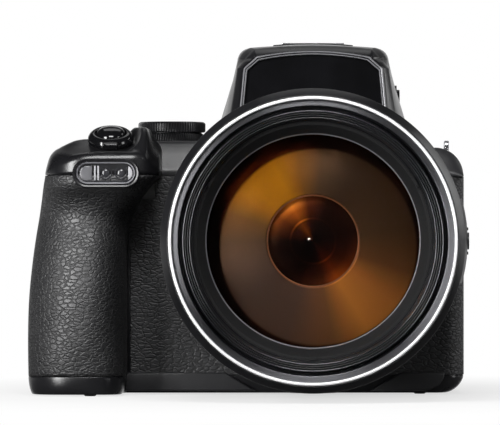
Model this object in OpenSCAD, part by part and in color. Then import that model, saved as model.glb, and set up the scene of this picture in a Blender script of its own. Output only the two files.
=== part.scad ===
// Bridge camera with a retracting long zoom lens, built as separate pieces.
// X runs to the right as seen from the front, Y to the back, Z up.
// The origin is the axis of the tripod socket, on the plane that the camera stands on.

/* [Body] */
// Height of the lens axis above the surface
axis_h = 51.5; // [49:0.5:55]
// Lens axis to the outer side of the grip
grip_reach = 94.9; // [92:0.5:100]
// Lens axis to the plain end of the body
body_reach = 50.8; // [50:0.5:56]
// Tripod axis to the front face
front_d = 20; // [18:0.5:24]
// Tripod axis to the rear face
rear_d = 34; // [33:0.5:38]
// Height of the top plate on the dial side
top_h = 85.4; // [84:0.5:88]
// Height of the plain shoulder
shoulder_h = 83; // [81:0.1:84]
// Height of the seam under the top cover
seam_h = 73.3; // [72:0.1:75]
// Height of the base plate's upper edge
base_h = 6.5; // [5.5:0.5:8]
// How far the feet stand below the base
foot_t = 0.5; // [0.3:0.1:1]
// Wall of the body covers
wall = 2; // [1.6:0.1:2.4]
// Thickness of the rubber skins
skin_t = 0.8; // [0.5:0.1:1]
// Rounding of the body's plain corners
corner_r = 6; // [4:0.5:8]
// Distance from the tripod axis back to the seam between front and rear cover
seam_d = 8; // [6:0.5:9]
// Clearance round pieces that move
fit = 0.15; // [0.1:0.05:0.2]

/* [Grip] */
// Width of the grip
grip_w = 32.5; // [31:0.5:35]
// Width of the grip's head, which carries the shutter button
head_w = 41; // [39:0.5:43]
// Reach of the grip's foot in front of the tripod axis
grip_foot = 47; // [44:0.5:50]
// Reach of the grip's belly
grip_belly = 51; // [49:0.5:54]
// Reach of the finger recess under the head
grip_waist = 45.5; // [43:0.5:48]
// Reach of the head
head_reach = 53.5; // [52:0.5:56]
// Height of the belly
belly_h = 32; // [26:1:38]
// Height of the finger recess
waist_h = 62; // [58:0.5:64]
// Height of the head's lower edge
head_h = 66.5; // [65.5:0.5:67.5]
// How far the outer side leans in at the seam
neck_in = 6; // [4:0.5:8]
// Rounding of the grip in plan
grip_r = 13; // [10:0.5:15]

/* [Lens] */
// Total reach of the lens in front of the tripod axis
lens_front = 131; // [128:0.5:134]
// Radius of the front flange
flange_r = 48.3; // [47.8:0.1:49]
// Radius of the filter thread
thread_r = 38.5; // [38.2:0.1:38.8]
// Length of the filter thread
thread_l = 5; // [4:0.5:6]
// Radius of the fixed barrel
barrel_r = 47; // [46.8:0.1:47.4]
// Reach of the fixed barrel
barrel_front = 104; // [102:0.5:106]
// Wall of the sliding tubes
tube_t = 1.3; // [1.1:0.1:1.4]
// Radius of the glass that shows at the front
glass_r = 33.8; // [32:0.1:34.5]
// Radius of the inner lens cell's opening
cell_r = 15; // [13:0.1:16]
// Reach of the bulge that carries the side zoom lever
bulge_r = 50.9; // [50.5:0.1:52]

/* [Hump] */
// Height over the accessory shoe's rails
total_h = 118.8; // [118:0.1:122]
// Height of the hump's roof
hump_h = 117.2; // [116.8:0.1:117.6]
// Half width of the hump at its foot
hump_foot = 33; // [32:0.5:35]
// Half width of the hump at its brow
hump_brow = 24.5; // [23:0.5:26]
// Reach of the hump in front of the tripod axis
hump_front = 39; // [37:0.5:41]
// Distance from the tripod axis to the back of the hump
hump_rear = 37; // [36:0.5:39]
// Distance from the tripod axis to the back of the eyecup
eyecup_rear = 50.3; // [48:0.5:54]
// Height of the eyepiece's axis
eyepiece_h = 100; // [99:0.5:101]

/* [Controls] */
// Distance from the lens axis to the shutter button
shutter_x = 67; // [66:0.5:68]
// Reach of the shutter button
shutter_d = 43.5; // [43:0.5:44.5]
// Height of the platform at the shutter button
shutter_h = 84.2; // [83.5:0.1:84.9]
// Forward tilt of the platform
shutter_tilt = 25; // [22:1:28]
// Radius of the shutter button
shutter_r = 5; // [4.4:0.1:5.4]
// Radius of the zoom lever
lever_r = 7.2; // [6.8:0.1:7.6]
// Radius of the mode dial
mode_r = 11.4; // [10:0.1:12]
// Radius of the command dial
command_r = 10; // [9:0.1:10.4]
// Radius of the small round buttons
button_r = 3.2; // [2.6:0.1:3.6]
// Travel of the small buttons
button_travel = 0.6; // [0.4:0.1:0.8]
// Radius of the rotary selector
selector_r = 11.5; // [10:0.1:12]

/* [Monitor] */
// Width of the monitor housing
monitor_w = 75; // [70:1:76]
// Height of the monitor housing
monitor_h = 62; // [58:1:63]
// Thickness of the monitor housing
monitor_t = 9; // [8:0.5:9.5]

/* [Hidden] */
$fn = 64;
// Overshoot of cutters
over = 1;
// Seat clearance of pieces that do not move
gap = 0.1;
base_z = foot_t;
floor_z = base_z + wall;
grip_in = grip_reach - grip_w;
head_in = grip_reach - head_w;
edge_r = 3;
lean_h = belly_h - 2;
head_seam = head_h - 0.4;
shoulder_drop = 8.6;
shoulder_run = 13;
shoulder_in = 1.5;
shoulder_r = corner_r + 3.5;
grip_inner_r = 9;
head_r = 4.5;

// Platform that carries the shutter button
function platform_z(y) = shutter_h + (y + shutter_d) * tan(shutter_tilt);
hub_r = lever_r - 0.7;
hub_l = wall + 2;
lever_t = 3.4;
shutter_out = 4.6;
keeper_t = 1.2;
lever_seat = 0.5;
tab_half = 2.5;
tab_out = 2;
tab_low = 0.9;
tab_top = lever_t;

// AF-assist window in the head
af_x = -head_in - 15;
af_h = head_h + 6.3;
af_w = 20;
af_tall = 8.8;
af_rim = 1.1;
af_depth = 4;
af_eyes = [0.5, 5];
af_eye_r = 1.6;

// Sliding tubes of the lens, from the outside in
barrel_in = barrel_r - 4.5;
tube_out = barrel_in + 1.5;
middle_r = barrel_in - 1.3;
middle_in = middle_r - tube_t;
inner_r = middle_in - 0.7;
inner_in = inner_r - tube_t;
running = 0.1;
lip = 4;
collar = 3;
middle_back = 6;
middle_front = barrel_front + 2;
inner_back = middle_back + 16;
flange_back = lens_front - 21;
skirt_in = flange_r - 1.5;
web_front = lens_front - 5;
web_back = web_front - 4;
chamfer_f = lens_front - 4.6;
silver_out = flange_r - 2.5;
silver_in = flange_r - 3.7;
silver_f = lens_front - 2;
bevel_in = flange_r - 6.1;
hood_gap = 0.45;
rim_step = 0.6;
rim_round = 0.3;
bevel_drop = 2.6;
ring_front = lens_front - 0.8;
thread_back = ring_front - thread_l;
lens_r = inner_in - fit;
seat_r = lens_r - 1.8;
lens_edge = lens_front - 13;
lens_edge_t = 6;
lens_sag = 4.5;
lens_back_sag = 3;
retainer_r = inner_in - gap;
retainer_lip = 1.1;
retainer_edge = 1.3;
chassis_f = -seam_d;
chassis_t = 4;
rod_r = 1;
rod_ring = inner_in - 1.6;
rod_front = lens_front - 28;
cell_out = inner_in - 3.4;
cell_back = lens_front - 57;
cell_t = 9;
cell_hub = 16;
hub_wall = 3;
cell_rim = 1.5;
cell_dish = 2;
cell_ear = 3;
ear_wall = 0.4;
inner_edge = cell_back - 2;
inner_t = 5;
inner_sag = 2.2;
iris_t = 1;
iris_r = 7.8;
control_front = barrel_front - 20;
control_back = control_front - 16;
control_in = barrel_r - 1;
control_out = barrel_r + 0.6;
control_teeth = 96;
control_knurl = 0.5;
fine_round = 240;
barrel_round = 1;
bulge_edge = 1.5;
bulge_run = 4;
bulge_front = control_back - 6;
bulge_back = bulge_front - 34;
bulge_half = 16;
side_f0 = bulge_back + 10;
side_f1 = side_f0 + 10;
side_half = 6;
side_travel = 2.2;
ridge = 0.5;
ridge_step = 2;
snap_f = bulge_front - 7;
snap_r = 2.8;
pocket_x = bulge_r - 2.2;

// Hump and flash
hump_low = shoulder_h - 3;
brow_h = hump_h - 5.7;
brow_in = 3.5;
corner_in = 2.7;
corner_drop = 2.1;
roof_half = hump_brow - 7.3;
roof_front = hump_front - 13;
roof_rear = hump_rear - 16;
rear_top = brow_h;
function hump_face(z) = -hump_front + brow_in * (z - hump_low) / (brow_h - hump_low);
lid_h = hump_h - 4.2;
flash_axis_y = -hump_front + 36;
lid_rear = flash_axis_y + 2;
flash_axis_h = hump_h - 1.7;
flash_barrel_r = 1.6;
pin_r = 0.8;
flash_half = 17;
ear_y = flash_axis_y - 2;
module_half = 15;
// The flash module takes most of the room between the lid and the barrel
module_d = 0.62 * (lid_h - axis_h - barrel_r);
module_face = [[flash_axis_y - 27, lid_h], [flash_axis_y - 16.3, lid_h - module_d]];
module_back = [[flash_axis_y - 6, lid_h - module_d],
    [flash_axis_y - 3, lid_h - module_d / 2], [flash_axis_y - 3, lid_h]];
window_edge = 0.1;
window_in = 1.5;
face_run = module_face[1] - module_face[0];
face_out = [face_run[1], -face_run[0]] / norm(face_run);
window_t = 1.2;
panel_half = hump_brow - 2.3;
panel_low = brow_h - 19;
panel_top = brow_h - 0.8;
panel_t = 1;
panel_in = 0.4;
panel_cut = 5;

// Accessory shoe
shoe_y0 = lid_rear + 3;
shoe_slot = 18.7;
shoe_gap = 12.5;
shoe_wall = 1.2;
shoe_rail = 0.9;
shoe_high = 2.1;
shoe_base = 0.8;
shoe_out = shoe_slot / 2 + shoe_wall;
shoe_z = total_h - shoe_rail - shoe_high - shoe_base;
surround = shoe_out + 3;
surround_h = total_h - 0.4;

// Eyepiece
cup_half = 19;
cup_high = 11.7;
view_half = 11.5;
view_high = 8;
view_r = 4;
cup_r = 7;
cup_lip = 2;
cup_deep = 4;
eye_lens_in = 2;
eye_lens_t = 3;
evf_wall = 1;
evf_back = 3;
evf_front = 14;
evf_half = 10;
evf_high = 7.5;

// Monitor and its hinge
monitor_floor = rear_d - 6;
pivot_x = body_reach - 4;
pivot_y = rear_d - 1;
pivot_r = 3.6;
pivot_pin = 1.5;
monitor_z0 = base_h + 2;
monitor_z1 = monitor_z0 + monitor_h;
monitor_x1 = pivot_x - 5.5;
monitor_x0 = monitor_x1 - monitor_w;
monitor_y0 = monitor_floor + 0.4;
monitor_y1 = monitor_y0 + monitor_t;
bay_gap = 0.8;
arm_z0 = monitor_z0 + 10;
arm_z1 = monitor_z1 - 10;
stub_r = 2.4;
stub_l = 7;
arm_in = 1.5;
arm_r = pivot_r - 0.2;
monitor_r = 3;
glass_in = 2.5;
glass_cr = 1.5;
glass_t = 0.8;
board_x0 = monitor_x0 - 4.3;
board_x1 = monitor_x1 - 5.3;
board_z0 = base_h + 3.5;
board_z1 = seam_h - 5.3;
post_in = 6;
posts = [for (x = [board_x0 + 10, board_x1 - 8], z = [board_z0 + post_in, board_z1 - post_in]) [x, z]];
post_r = 2;
board_y = 20;
board_t = 1.2;
cpu_at = [-20, 20];
cpu_w = 16;
cpu_t = 1.4;
memory_at = [6, 44];
memory_w = 10;
motor_x = -tube_out - 7;
motor_z = 29;
motor_r = 5.5;
motor_l = 22;
motor_shaft = 4;
motor_shaft_r = 1.5;
gate_half = 9;
gate_high = 7;
sensor_edge = 4;
sensor_t = 1.5;
chip_half = 4;
chip_high = 3;
chip_t = 1.2;

// Battery bay in the grip
knuckle_r = 1.9;
door_axis_z = base_z + 2.2;
door_swing = door_axis_z - base_z + 0.3;
door_axis_x = -grip_in - wall - door_swing - 0.5;
bay_x0 = -grip_reach + neck_in + 1.4;
bay_x1 = door_axis_x - 2.6;
bay_y0 = -grip_waist + 15.5;
bay_y1 = seam_d - 3;
bay_top = head_h - 6.5;
bay_t = 1;
bay_z = floor_z + 3.6;
door_x0 = bay_x0 - 2.5;
door_y0 = bay_y0 - 6;
door_y1 = bay_y1 + 6;
door_t = wall;
ear_l = 3;

// Connector bay in the plain end
port_y0 = seam_d + 4;
port_y1 = monitor_floor - wall - 1;
port_z0 = base_h + 17.5;
port_z1 = port_z0 + 34;
port_t = 1.8;
port_pivot = 0.9;
block_x0 = body_reach - 9.5;
port_mid = (port_y0 + port_y1) / 2;
socket_half = 1.6;
video_z = 4;
video_l = 11;
data_z = 18;
data_l = 7.5;
jack_z = 29.5;
jack_r = 1.8;

// Places of the controls
mode_x = -hump_foot - mode_r - 3.6;
mode_y = 4;
mode_lower = mode_r - 2.2;
dial_gap = 0.5;
guard_x0 = mode_x - mode_r + 0.7;
guard_x1 = -head_in - dial_gap;
guard_rear = mode_y - sqrt(pow(mode_r + dial_gap, 2) - pow(guard_x1 - mode_x, 2));
guard_h = top_h + 5.8;
guard_slope = 3;
guard_front = -shutter_d - 3;
spindle_r = 3;
spindle_l = 3;
mode_step = 2.8;
mode_t = 6.6;
mode_cap = 0.5;
mode_teeth = 52;
lower_teeth = 40;
knurl = 0.4;
command_x = -grip_reach + 23;
command_y = rear_d - command_r + 1.8;
command_z = top_h - 8.9;
command_t = 5.5;
command_axle = 1.5;
command_teeth = 44;
power_x = -shutter_x - 2.5;
power_y = -front_d + 2;
power_r = 4;
fn_x = -shutter_x + 2;
fn_y = -shutter_d + 14.5;
cap_out = 0.9;
flange_w = 0.8;
flange_deep = 1.2;
selector_x = monitor_x0 - 28.3;
selector_z = base_h + 25.5;
ok_r = 4.2;
af_ring_x = monitor_x0 - 12.3;
af_ring_z = seam_h - 9.3;
af_ring_r = 5.4;
ael_r = 2.9;
ring_out = 1.4;
lever_half = 1.2;
lever_out = 2;
centre_out = 2;
selector_out = 1.6;
selector_teeth = 48;
movie_at = [af_ring_x - 13, af_ring_z];
play_at = [monitor_x0 - 10.3, (selector_z + af_ring_z) / 2 + 1];
menu_at = [selector_x - 12, base_h + 8.5];
delete_at = [selector_x + 12, base_h + 8.5];
display_at = [monitor_x0 - 6.3, (seam_h + top_h) / 2 - 1.55];
thumb_x1 = selector_x - 5;
thumb_z0 = selector_z + 14;
thumb_z1 = seam_h - 3.3;
diopter_y = hump_rear - 13;
diopter_z = eyepiece_h - 2;
diopter_r = 5.5;
diopter_out = 1.6;
diopter_teeth = 30;
fine_knurl = 0.3;
release_y = flash_axis_y - 7;
release_z = brow_h - 10.5;
release_r = 3;
function hump_side(z) = hump_foot + (hump_brow - hump_foot) * (z - hump_low) / (brow_h - hump_low);

// Base hardware
bush_r = 8;
bush_flange = 11;
bush_flange_t = 1.4;
bush_neck = 6;
bush_top = 6.9;
tripod_r = 2.6;
tripod_l = 6;
foot_r = 2;
feet = [[-grip_reach + 20.9, -grip_foot + 6], [body_reach - 14.8, -front_d + 8],
    [-grip_reach + 18.9, rear_d - 10], [body_reach - 10.8, rear_d - 12]];
screws = [[-grip_in + 6.4, -front_d + 8], [-grip_in + 6.4, rear_d - 8], [body_reach - 6.8, -front_d + 8],
    [body_reach - 20.8, rear_d - 6], [-20, rear_d - 8], [20, -front_d + 6]];
screw_r = 1.7;
screw_head = 0.9;
screw_l = 2;
lug_t = 1.5;
lug_l = 13;
lug_y = 12;
lug_h = 8.2;
lug_drop = (shoulder_h - seam_h) * 0.268;
lug_bar = 1.9;
lug_round = 1.7;
lug_right = body_reach - corner_r;
lug_left = -grip_reach + neck_in + shoulder_in + 1.5;
notch_h = seam_h + (shoulder_h - seam_h) * 0.433;
notch_side = 2.5;

// Points of an arc
function arc(cx, cy, r, a0, a1, n = 6) =
    [for (k = [0 : n]) let (a = a0 + (a1 - a0) * k / n) [cx + r * cos(a), cy + r * sin(a)]];

// Rectangle with round corners
function round_rect(x0, x1, y0, y1, r) = concat(
    arc(x1 - r, y1 - r, r, 0, 90),
    arc(x0 + r, y1 - r, r, 90, 180),
    arc(x0 + r, y0 + r, r, 180, 270),
    arc(x1 - r, y0 + r, r, 270, 360));

// Smooth run from p to q, straight in the second value
function ease(p, q, n = 5) =
    [for (k = [1 : n]) let (t = k / n)
        [p[0] + (q[0] - p[0]) * (1 - cos(180 * t)) / 2, p[1] + (q[1] - p[1]) * t]];

// Toothed circle
function toothed(r, n, d) =
    [for (k = [0 : n - 1]) each [for (t = [[0, 0], [0.5, 0], [0.6, d], [0.9, d]])
        let (a = 360 * (k + t[0]) / n) [(r - t[1]) * cos(a), (r - t[1]) * sin(a)]]];

// Outline of the body seen from the front, drawn in by i
function body_outline(i) = concat(
    arc(-grip_reach + edge_r, base_z + edge_r, edge_r - i, 270, 180, 4),
    [[-grip_reach + i, lean_h]],
    ease([-grip_reach + i, lean_h], [-grip_reach + neck_in + i, seam_h]),
    [for (k = [0 : 5]) let (a = 90 * k / 5)
        [-grip_reach + neck_in + shoulder_in + shoulder_run - (shoulder_run - i) * cos(a),
        top_h - shoulder_drop + (shoulder_drop - i) * sin(a)]],
    [[0, top_h - i], [0, shoulder_h - i]],
    arc(body_reach - shoulder_r, shoulder_h - shoulder_r, shoulder_r - i, 90, 0, 8),
    arc(body_reach - edge_r, base_z + edge_r, edge_r - i, 360, 270, 4));

// Side profile of the grip, drawn in by i
function grip_profile(i) = concat(
    [[rear_d - i, base_z + i], [-grip_foot + i + edge_r / 2, base_z + i], [-grip_foot + i, base_z + edge_r]],
    ease([-grip_foot + i, base_z + edge_r], [-grip_belly + i, belly_h]),
    ease([-grip_belly + i, belly_h], [-grip_waist + i, waist_h]),
    [[-head_reach + i, head_h + i / 2],
    [-head_reach + i, platform_z(-head_reach + i) - i / cos(shutter_tilt)],
    [-shutter_d + (top_h - i + i / cos(shutter_tilt) - shutter_h) / tan(shutter_tilt), top_h - i],
    [rear_d - i, top_h - i]]);

// Plan of a grip part with its own inner edge and rounding
function grip_plan(i, edge, r) = concat(
    [[-edge - i, 0], [-grip_reach + i, 0]],
    arc(-grip_reach + grip_r, -head_reach + grip_r, grip_r - i, 180, 270),
    arc(-edge - r, -head_reach + r, r - i, 270, 360));

function hump_right(i) = [
    [hump_foot - i, hump_low],
    [hump_brow - i, brow_h],
    [hump_brow - corner_in - i, hump_h - corner_drop - i / 2],
    [roof_half - i, hump_h - i]];

function hump_outline(i) = let (r = hump_right(i), n = len(r))
    concat(r, [for (k = [n - 1 : -1 : 0]) [-r[k][0], r[k][1]]]);

function hump_profile(i) = [
    [hump_rear - i, hump_low],
    [-hump_front + i, hump_low],
    [hump_face(brow_h) + i, brow_h],
    [-roof_front + i / 2, hump_h - i],
    [roof_rear - i, hump_h - i],
    [roof_rear - i, shoe_z - i],
    [hump_rear - i, rear_top - i]];

function panel_outline(g) = [
    [panel_half + g, panel_low], [panel_half + g, panel_top - panel_cut],
    [panel_half - panel_cut + g, panel_top + g], [-panel_half + panel_cut - g, panel_top + g],
    [-panel_half - g, panel_top - panel_cut], [-panel_half - g, panel_low]];

function glass_outline(g) = round_rect(monitor_x0 + glass_in + g, monitor_x1 - glass_in - g,
    monitor_z0 + glass_in + g, monitor_z1 - glass_in - g, glass_cr - g);

function view_outline(g) = round_rect(-view_half + g, view_half - g,
    eyepiece_h - view_high + g, eyepiece_h + view_high - g, view_r - g);

// Outlines drawn in x and z, run along y
module along_y(y0, y1) {
    translate([0, y1, 0]) rotate([90, 0, 0]) linear_extrude(y1 - y0) children();
}

// Outlines drawn in y and z, run along x
module along_x(x0, x1) {
    translate([x0, 0, 0]) rotate([90, 0, 90]) linear_extrude(x1 - x0) children();
}

module along_z(z0, z1) {
    translate([0, 0, z0]) linear_extrude(z1 - z0) children();
}

module box(p, q) {
    translate(p) cube(q - p);
}

// Lens frame, its third axis runs forward along the lens
module on_axis() {
    translate([0, 0, axis_h]) rotate([90, 0, 0]) children();
}

module rod_f(f0, f1, r) {
    on_axis() translate([0, 0, f0]) cylinder(r = r, h = f1 - f0);
}

// Frame of the tilted platform under the shutter button
module on_platform() {
    translate([-shutter_x, -shutter_d, shutter_h]) rotate([shutter_tilt, 0, 0]) children();
}

// Frame on a wall that faces the back, its third axis runs backwards
module on_rear(at, y) {
    translate([at[0], y, at[1]]) rotate([-90, 0, 0]) children();
}

// Frame on a wall that faces the plain end
module on_right(x, y, z) {
    translate([x, y, z]) rotate([0, 90, 0]) children();
}

module disc(z0, z1, r, n = $fn) {
    translate([0, 0, z0]) cylinder(r = r, h = z1 - z0, $fn = n);
}

// Button cap with the flange that keeps it in, the wall's outer face at zero
module cap(r, out) {
    disc(-wall - flange_deep, -wall - gap, r + flange_w);
    disc(-wall - gap, out, r);
}

// Solid form of the body, drawn in by i
module body_form(i) {
    intersection() {
        along_y(-head_reach - over, rear_d + over) polygon(body_outline(i));
        union() {
            along_z(0, top_h + over)
                polygon(round_rect(-grip_reach + i, body_reach - i, -front_d + i, rear_d - i, corner_r - i));
            intersection() {
                along_x(-grip_reach - over, -head_in + over) polygon(grip_profile(i));
                union() {
                    along_z(0, top_h + over) polygon(grip_plan(i, grip_in, grip_inner_r));
                    along_z(head_h + i, top_h + over) polygon(grip_plan(i, head_in, head_r));
                }
            }
        }
    }
}

module head_zone() {
    box([-grip_reach - over, -head_reach - over, head_seam], [-head_in + over, -front_d, seam_h]);
}

module front_zone() {
    difference() {
        box([-grip_reach - over, -head_reach - over, base_h], [body_reach + over, seam_d, seam_h]);
        head_zone();
    }
}

module rear_zone() {
    box([-grip_reach - over, seam_d, base_h], [body_reach + over, rear_d + over, seam_h]);
}

module top_zone() {
    box([-grip_reach - over, -head_reach - over, seam_h], [body_reach + over, rear_d + over, top_h + over]);
    head_zone();
}

// Rubber of the grip, front and outer side
module grip_skin_zone() {
    box([-grip_reach - over, -head_reach - over, base_h], [-grip_in + over, -front_d - gap, head_seam]);
    box([-grip_reach - over, -front_d - over, base_h], [-grip_reach + neck_in + over, seam_d, head_seam]);
}

// Grained pads beside the lens, on the plain end and under the thumb
module pad_zone() {
    difference() {
        union() {
            box([-grip_in + over, -front_d - over, base_h], [0, -front_d + corner_r, head_h - over]);
            box([-head_in + over, -front_d - over, base_h], [body_reach + over, -front_d + corner_r, seam_h]);
            box([body_reach - corner_r, -front_d, base_h], [body_reach + over, seam_d, seam_h]);
        }
        rod_f(0, front_d + over, barrel_r + over);
    }
    box([-grip_reach - over, rear_d - corner_r, thumb_z0], [thumb_x1, rear_d + over, thumb_z1]);
}

module skin() {
    difference() {
        body_form(0);
        body_form(skin_t);
    }
}

module grip_rubber() {
    color("#232325") intersection() {
        skin();
        grip_skin_zone();
    }
}

module leatherette_pads() {
    color("#29292b") intersection() {
        skin();
        pad_zone();
    }
}

module throat() {
    rod_f(-seam_d - chassis_t - gap, front_d + over, tube_out + gap);
}

module front_cover() {
    color("#2b2b2d") difference() {
        intersection() {
            body_form(0);
            front_zone();
        }
        body_form(wall);
        grip_rubber();
        leatherette_pads();
        throat();
    }
}

// Tray behind the monitor, part of the rear cover
module monitor_bay(g) {
    box([monitor_x0 - bay_gap - g, monitor_floor - g, monitor_z0 - bay_gap - g],
        [body_reach + over, rear_d + over, monitor_z1 + bay_gap + g]);
}

module rear_hole(at, r) {
    on_rear(at, rear_d) disc(-wall - over, over, r + fit);
}

module port_hole() {
    box([body_reach - wall - over, port_y0, port_z0], [body_reach + over, port_y1, port_z1]);
}

module pivot_knuckles() {
    for (z = [[monitor_z0 - bay_gap, arm_z0 - gap], [arm_z1 + gap, monitor_z1 + bay_gap]])
        translate([pivot_x, pivot_y, 0]) disc(z[0], z[1], pivot_r);
}

module rear_cover() {
    color("#2a2a2c") difference() {
        union() {
            difference() {
                intersection() {
                    body_form(0);
                    rear_zone();
                }
                difference() {
                    body_form(wall);
                    monitor_bay(wall);
                }
                monitor_bay(0);
            }
            pivot_knuckles();
            for (p = posts) on_rear(p, board_y + board_t)
                disc(0, monitor_floor - wall - board_y - board_t, post_r);
        }
        leatherette_pads();
        translate([pivot_x, pivot_y, 0]) disc(monitor_z0, monitor_z1, pivot_pin + gap / 4);
        rear_hole([selector_x, selector_z], selector_r);
        rear_hole([af_ring_x, af_ring_z], af_ring_r);
        for (p = [movie_at, play_at, menu_at, delete_at]) rear_hole(p, button_r);
        port_hole();
    }
}

function af_pill(g) = round_rect(af_x - af_w / 2 - g, af_x + af_w / 2 + g,
    af_h - af_tall / 2 - g, af_h + af_tall / 2 + g, af_tall / 2 + g - gap);

// The grip's shoulder is lower, and its lug with it
function lug_low(side) = side > 0 ? notch_h : notch_h - lug_drop;

module lug_notch(side) {
    x = side > 0 ? lug_right : lug_left;
    z = lug_low(side);
    x0 = side > 0 ? x - notch_side : -grip_reach - over;
    x1 = side > 0 ? body_reach + over : x + lug_t + notch_side;
    box([x0, lug_y - lug_l / 2 - notch_side, z], [x1, lug_y + lug_l / 2 + notch_side, top_h + over]);
}

module lug_block(side) {
    x0 = side > 0 ? lug_right - notch_side - wall : -grip_reach - over;
    x1 = side > 0 ? body_reach + over : lug_left + lug_t + notch_side + wall;
    box([x0, lug_y - lug_l / 2 - notch_side - wall, lug_low(side) - wall],
        [x1, lug_y + lug_l / 2 + notch_side + wall, top_h + over]);
}

// Ridge beside the mode dial, which runs down the inner edge of the head
module dial_guard() {
    difference() {
        along_x(guard_x0, guard_x1) polygon([
            [guard_front, seam_h], [guard_front, platform_z(guard_front)],
            [guard_front + (guard_rear - guard_front) / 2, guard_h - guard_slope / 2],
            [guard_rear - 2 * guard_slope, guard_h], [guard_rear - guard_slope, guard_h],
            [guard_rear, guard_h - guard_slope], [guard_rear, seam_h]]);
        body_form(wall);
    }
}

module top_cover() {
    color("#262628") difference() {
        union() {
            difference() {
                intersection() {
                    body_form(0);
                    top_zone();
                }
                difference() {
                    body_form(wall);
                    box([af_x - af_w / 2 - wall, -head_reach - over, head_seam],
                        [af_x + af_w / 2 + wall, -head_reach + af_depth + wall, top_h]);
                    lug_block(1);
                    lug_block(-1);
                }
            }
            dial_guard();
            on_platform() disc(-hub_l, -fit, lever_r + lever_seat);
            along_y(-head_reach - panel_in, -head_reach + wall) polygon(af_pill(af_rim));
            translate([command_x, command_y, 0]) disc(command_z - gap, top_h - wall + gap, command_axle);
        }
        along_y(-head_reach - over, -head_reach + af_depth) polygon(af_pill(gap));
        lug_notch(1);
        lug_notch(-1);
        throat();
        on_platform() disc(-hub_l - 2 * gap - keeper_t - over, over, hub_r + running);
        translate([mode_x, mode_y, top_h]) disc(-wall - over, over, spindle_r + running);
        translate([power_x, power_y, top_h]) disc(-wall - over, over, power_r + fit);
        translate([fn_x, fn_y, top_h]) disc(-wall - over, over, button_r + fit);
        difference() {
            translate([command_x, command_y, command_z])
                disc(-2 * gap, command_t + 2 * gap, command_r + 2 * fit);
            translate([command_x, command_y, command_z]) disc(-over, command_t + over, command_axle);
        }
        rear_hole(display_at, button_r);
    }
}

module base_plate() {
    color("#252527") difference() {
        union() {
            difference() {
                intersection() {
                    body_form(0);
                    box([-grip_reach - over, -head_reach - over, 0],
                        [body_reach + over, rear_d + over, base_h]);
                }
                body_form(wall);
            }
            for (p = feet) translate(p) disc(0, floor_z, foot_r);
            for (y = [door_y0 - gap - ear_l, door_y1 + gap])
                box([door_axis_x - knuckle_r, y, base_z],
                    [door_axis_x + knuckle_r, y + ear_l, door_axis_z + knuckle_r]);
        }
        box([door_x0 - fit, door_y0 - fit / 2, 0],
            [door_axis_x + door_swing, door_y1 + fit / 2, floor_z + over]);
        translate([door_axis_x, door_y0 - over, door_axis_z]) rotate([-90, 0, 0])
            disc(-ear_l, door_y1 - door_y0 + ear_l + over, pin_r + gap / 4);
        disc(0, floor_z + over, bush_r + gap);
        for (p = screws) translate(p) {
            disc(0, base_z + screw_head + gap, screw_r + gap);
            disc(0, floor_z + over, screw_r / 2 + gap);
        }
    }
}

module hump_form(i) {
    intersection() {
        along_y(-hump_front - over, hump_rear + over) polygon(hump_outline(i));
        along_x(-hump_foot - over, hump_foot + over) polygon(hump_profile(i));
    }
}

// Slab that follows the hump's sloped front between two depths
module front_slab(d0, d1) {
    along_x(-hump_foot, hump_foot) polygon([
        [hump_face(panel_low) + d0, panel_low], [hump_face(brow_h) + d0, brow_h],
        [hump_face(brow_h) + d1, brow_h], [hump_face(panel_low) + d1, panel_low]]);
}

module panel_form(g, d0, d1) {
    intersection() {
        along_y(-hump_front - over, 0) polygon(panel_outline(g));
        front_slab(d0, d1);
    }
}

module front_panel() {
    color("#0c0c0d") difference() {
        panel_form(0, panel_in, panel_in + panel_t);
        rod_f(0, hump_front + over, barrel_r + 2 * wall);
    }
}

// Each ear is round about the hinge pin above the axis, so that the lid's edge turns past it
module flash_ears(g) {
    for (s = [-1, 1]) {
        x0 = s > 0 ? flash_half + g : -hump_foot;
        x1 = s > 0 ? hump_foot : -flash_half - g;
        box([x0, ear_y + g, lid_h - gap], [x1, lid_rear, flash_axis_h]);
        box([x0, flash_axis_y + g, lid_h - gap], [x1, lid_rear, hump_h + over]);
        translate([x0, flash_axis_y, flash_axis_h]) rotate([0, 90, 0])
            disc(0, x1 - x0, flash_axis_y - ear_y - g);
    }
}

module hump_housing() {
    color("#282829") difference() {
        union() {
            difference() {
                hump_form(0);
                hump_form(wall);
            }
            intersection() {
                hump_form(0);
                union() {
                    box([-surround, 0, shoe_z - wall], [surround, roof_rear, hump_h]);
                    flash_ears(fit);
                }
            }
            box([-surround, 0, hump_h - wall], [surround, roof_rear, surround_h]);
        }
        body_form(0);
        rod_f(0, hump_front + over, barrel_r + 2 * gap);
        throat();
        difference() {
            box([-hump_foot, -hump_front - over, lid_h - gap], [hump_foot, lid_rear, hump_h + over]);
            flash_ears(fit);
        }
        panel_form(gap, -over, panel_in + panel_t);
        translate([-flash_half - 3 * over, flash_axis_y, flash_axis_h]) rotate([0, 90, 0])
            disc(0, 2 * flash_half + 6 * over, pin_r + gap / 4);
        box([-shoe_out - gap, shoe_y0 - gap, shoe_z], [shoe_out + gap, roof_rear + over, total_h + over]);
        along_y(hump_rear - wall - over, hump_rear + over)
            polygon(view_outline(0));
        on_right(hump_side(diopter_z), diopter_y, diopter_z) disc(-2 * wall, 2 * wall, diopter_r + fit);
        on_right(hump_side(release_z), release_y, release_z) disc(-2 * wall, 2 * wall, release_r + fit);
    }
}

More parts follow.
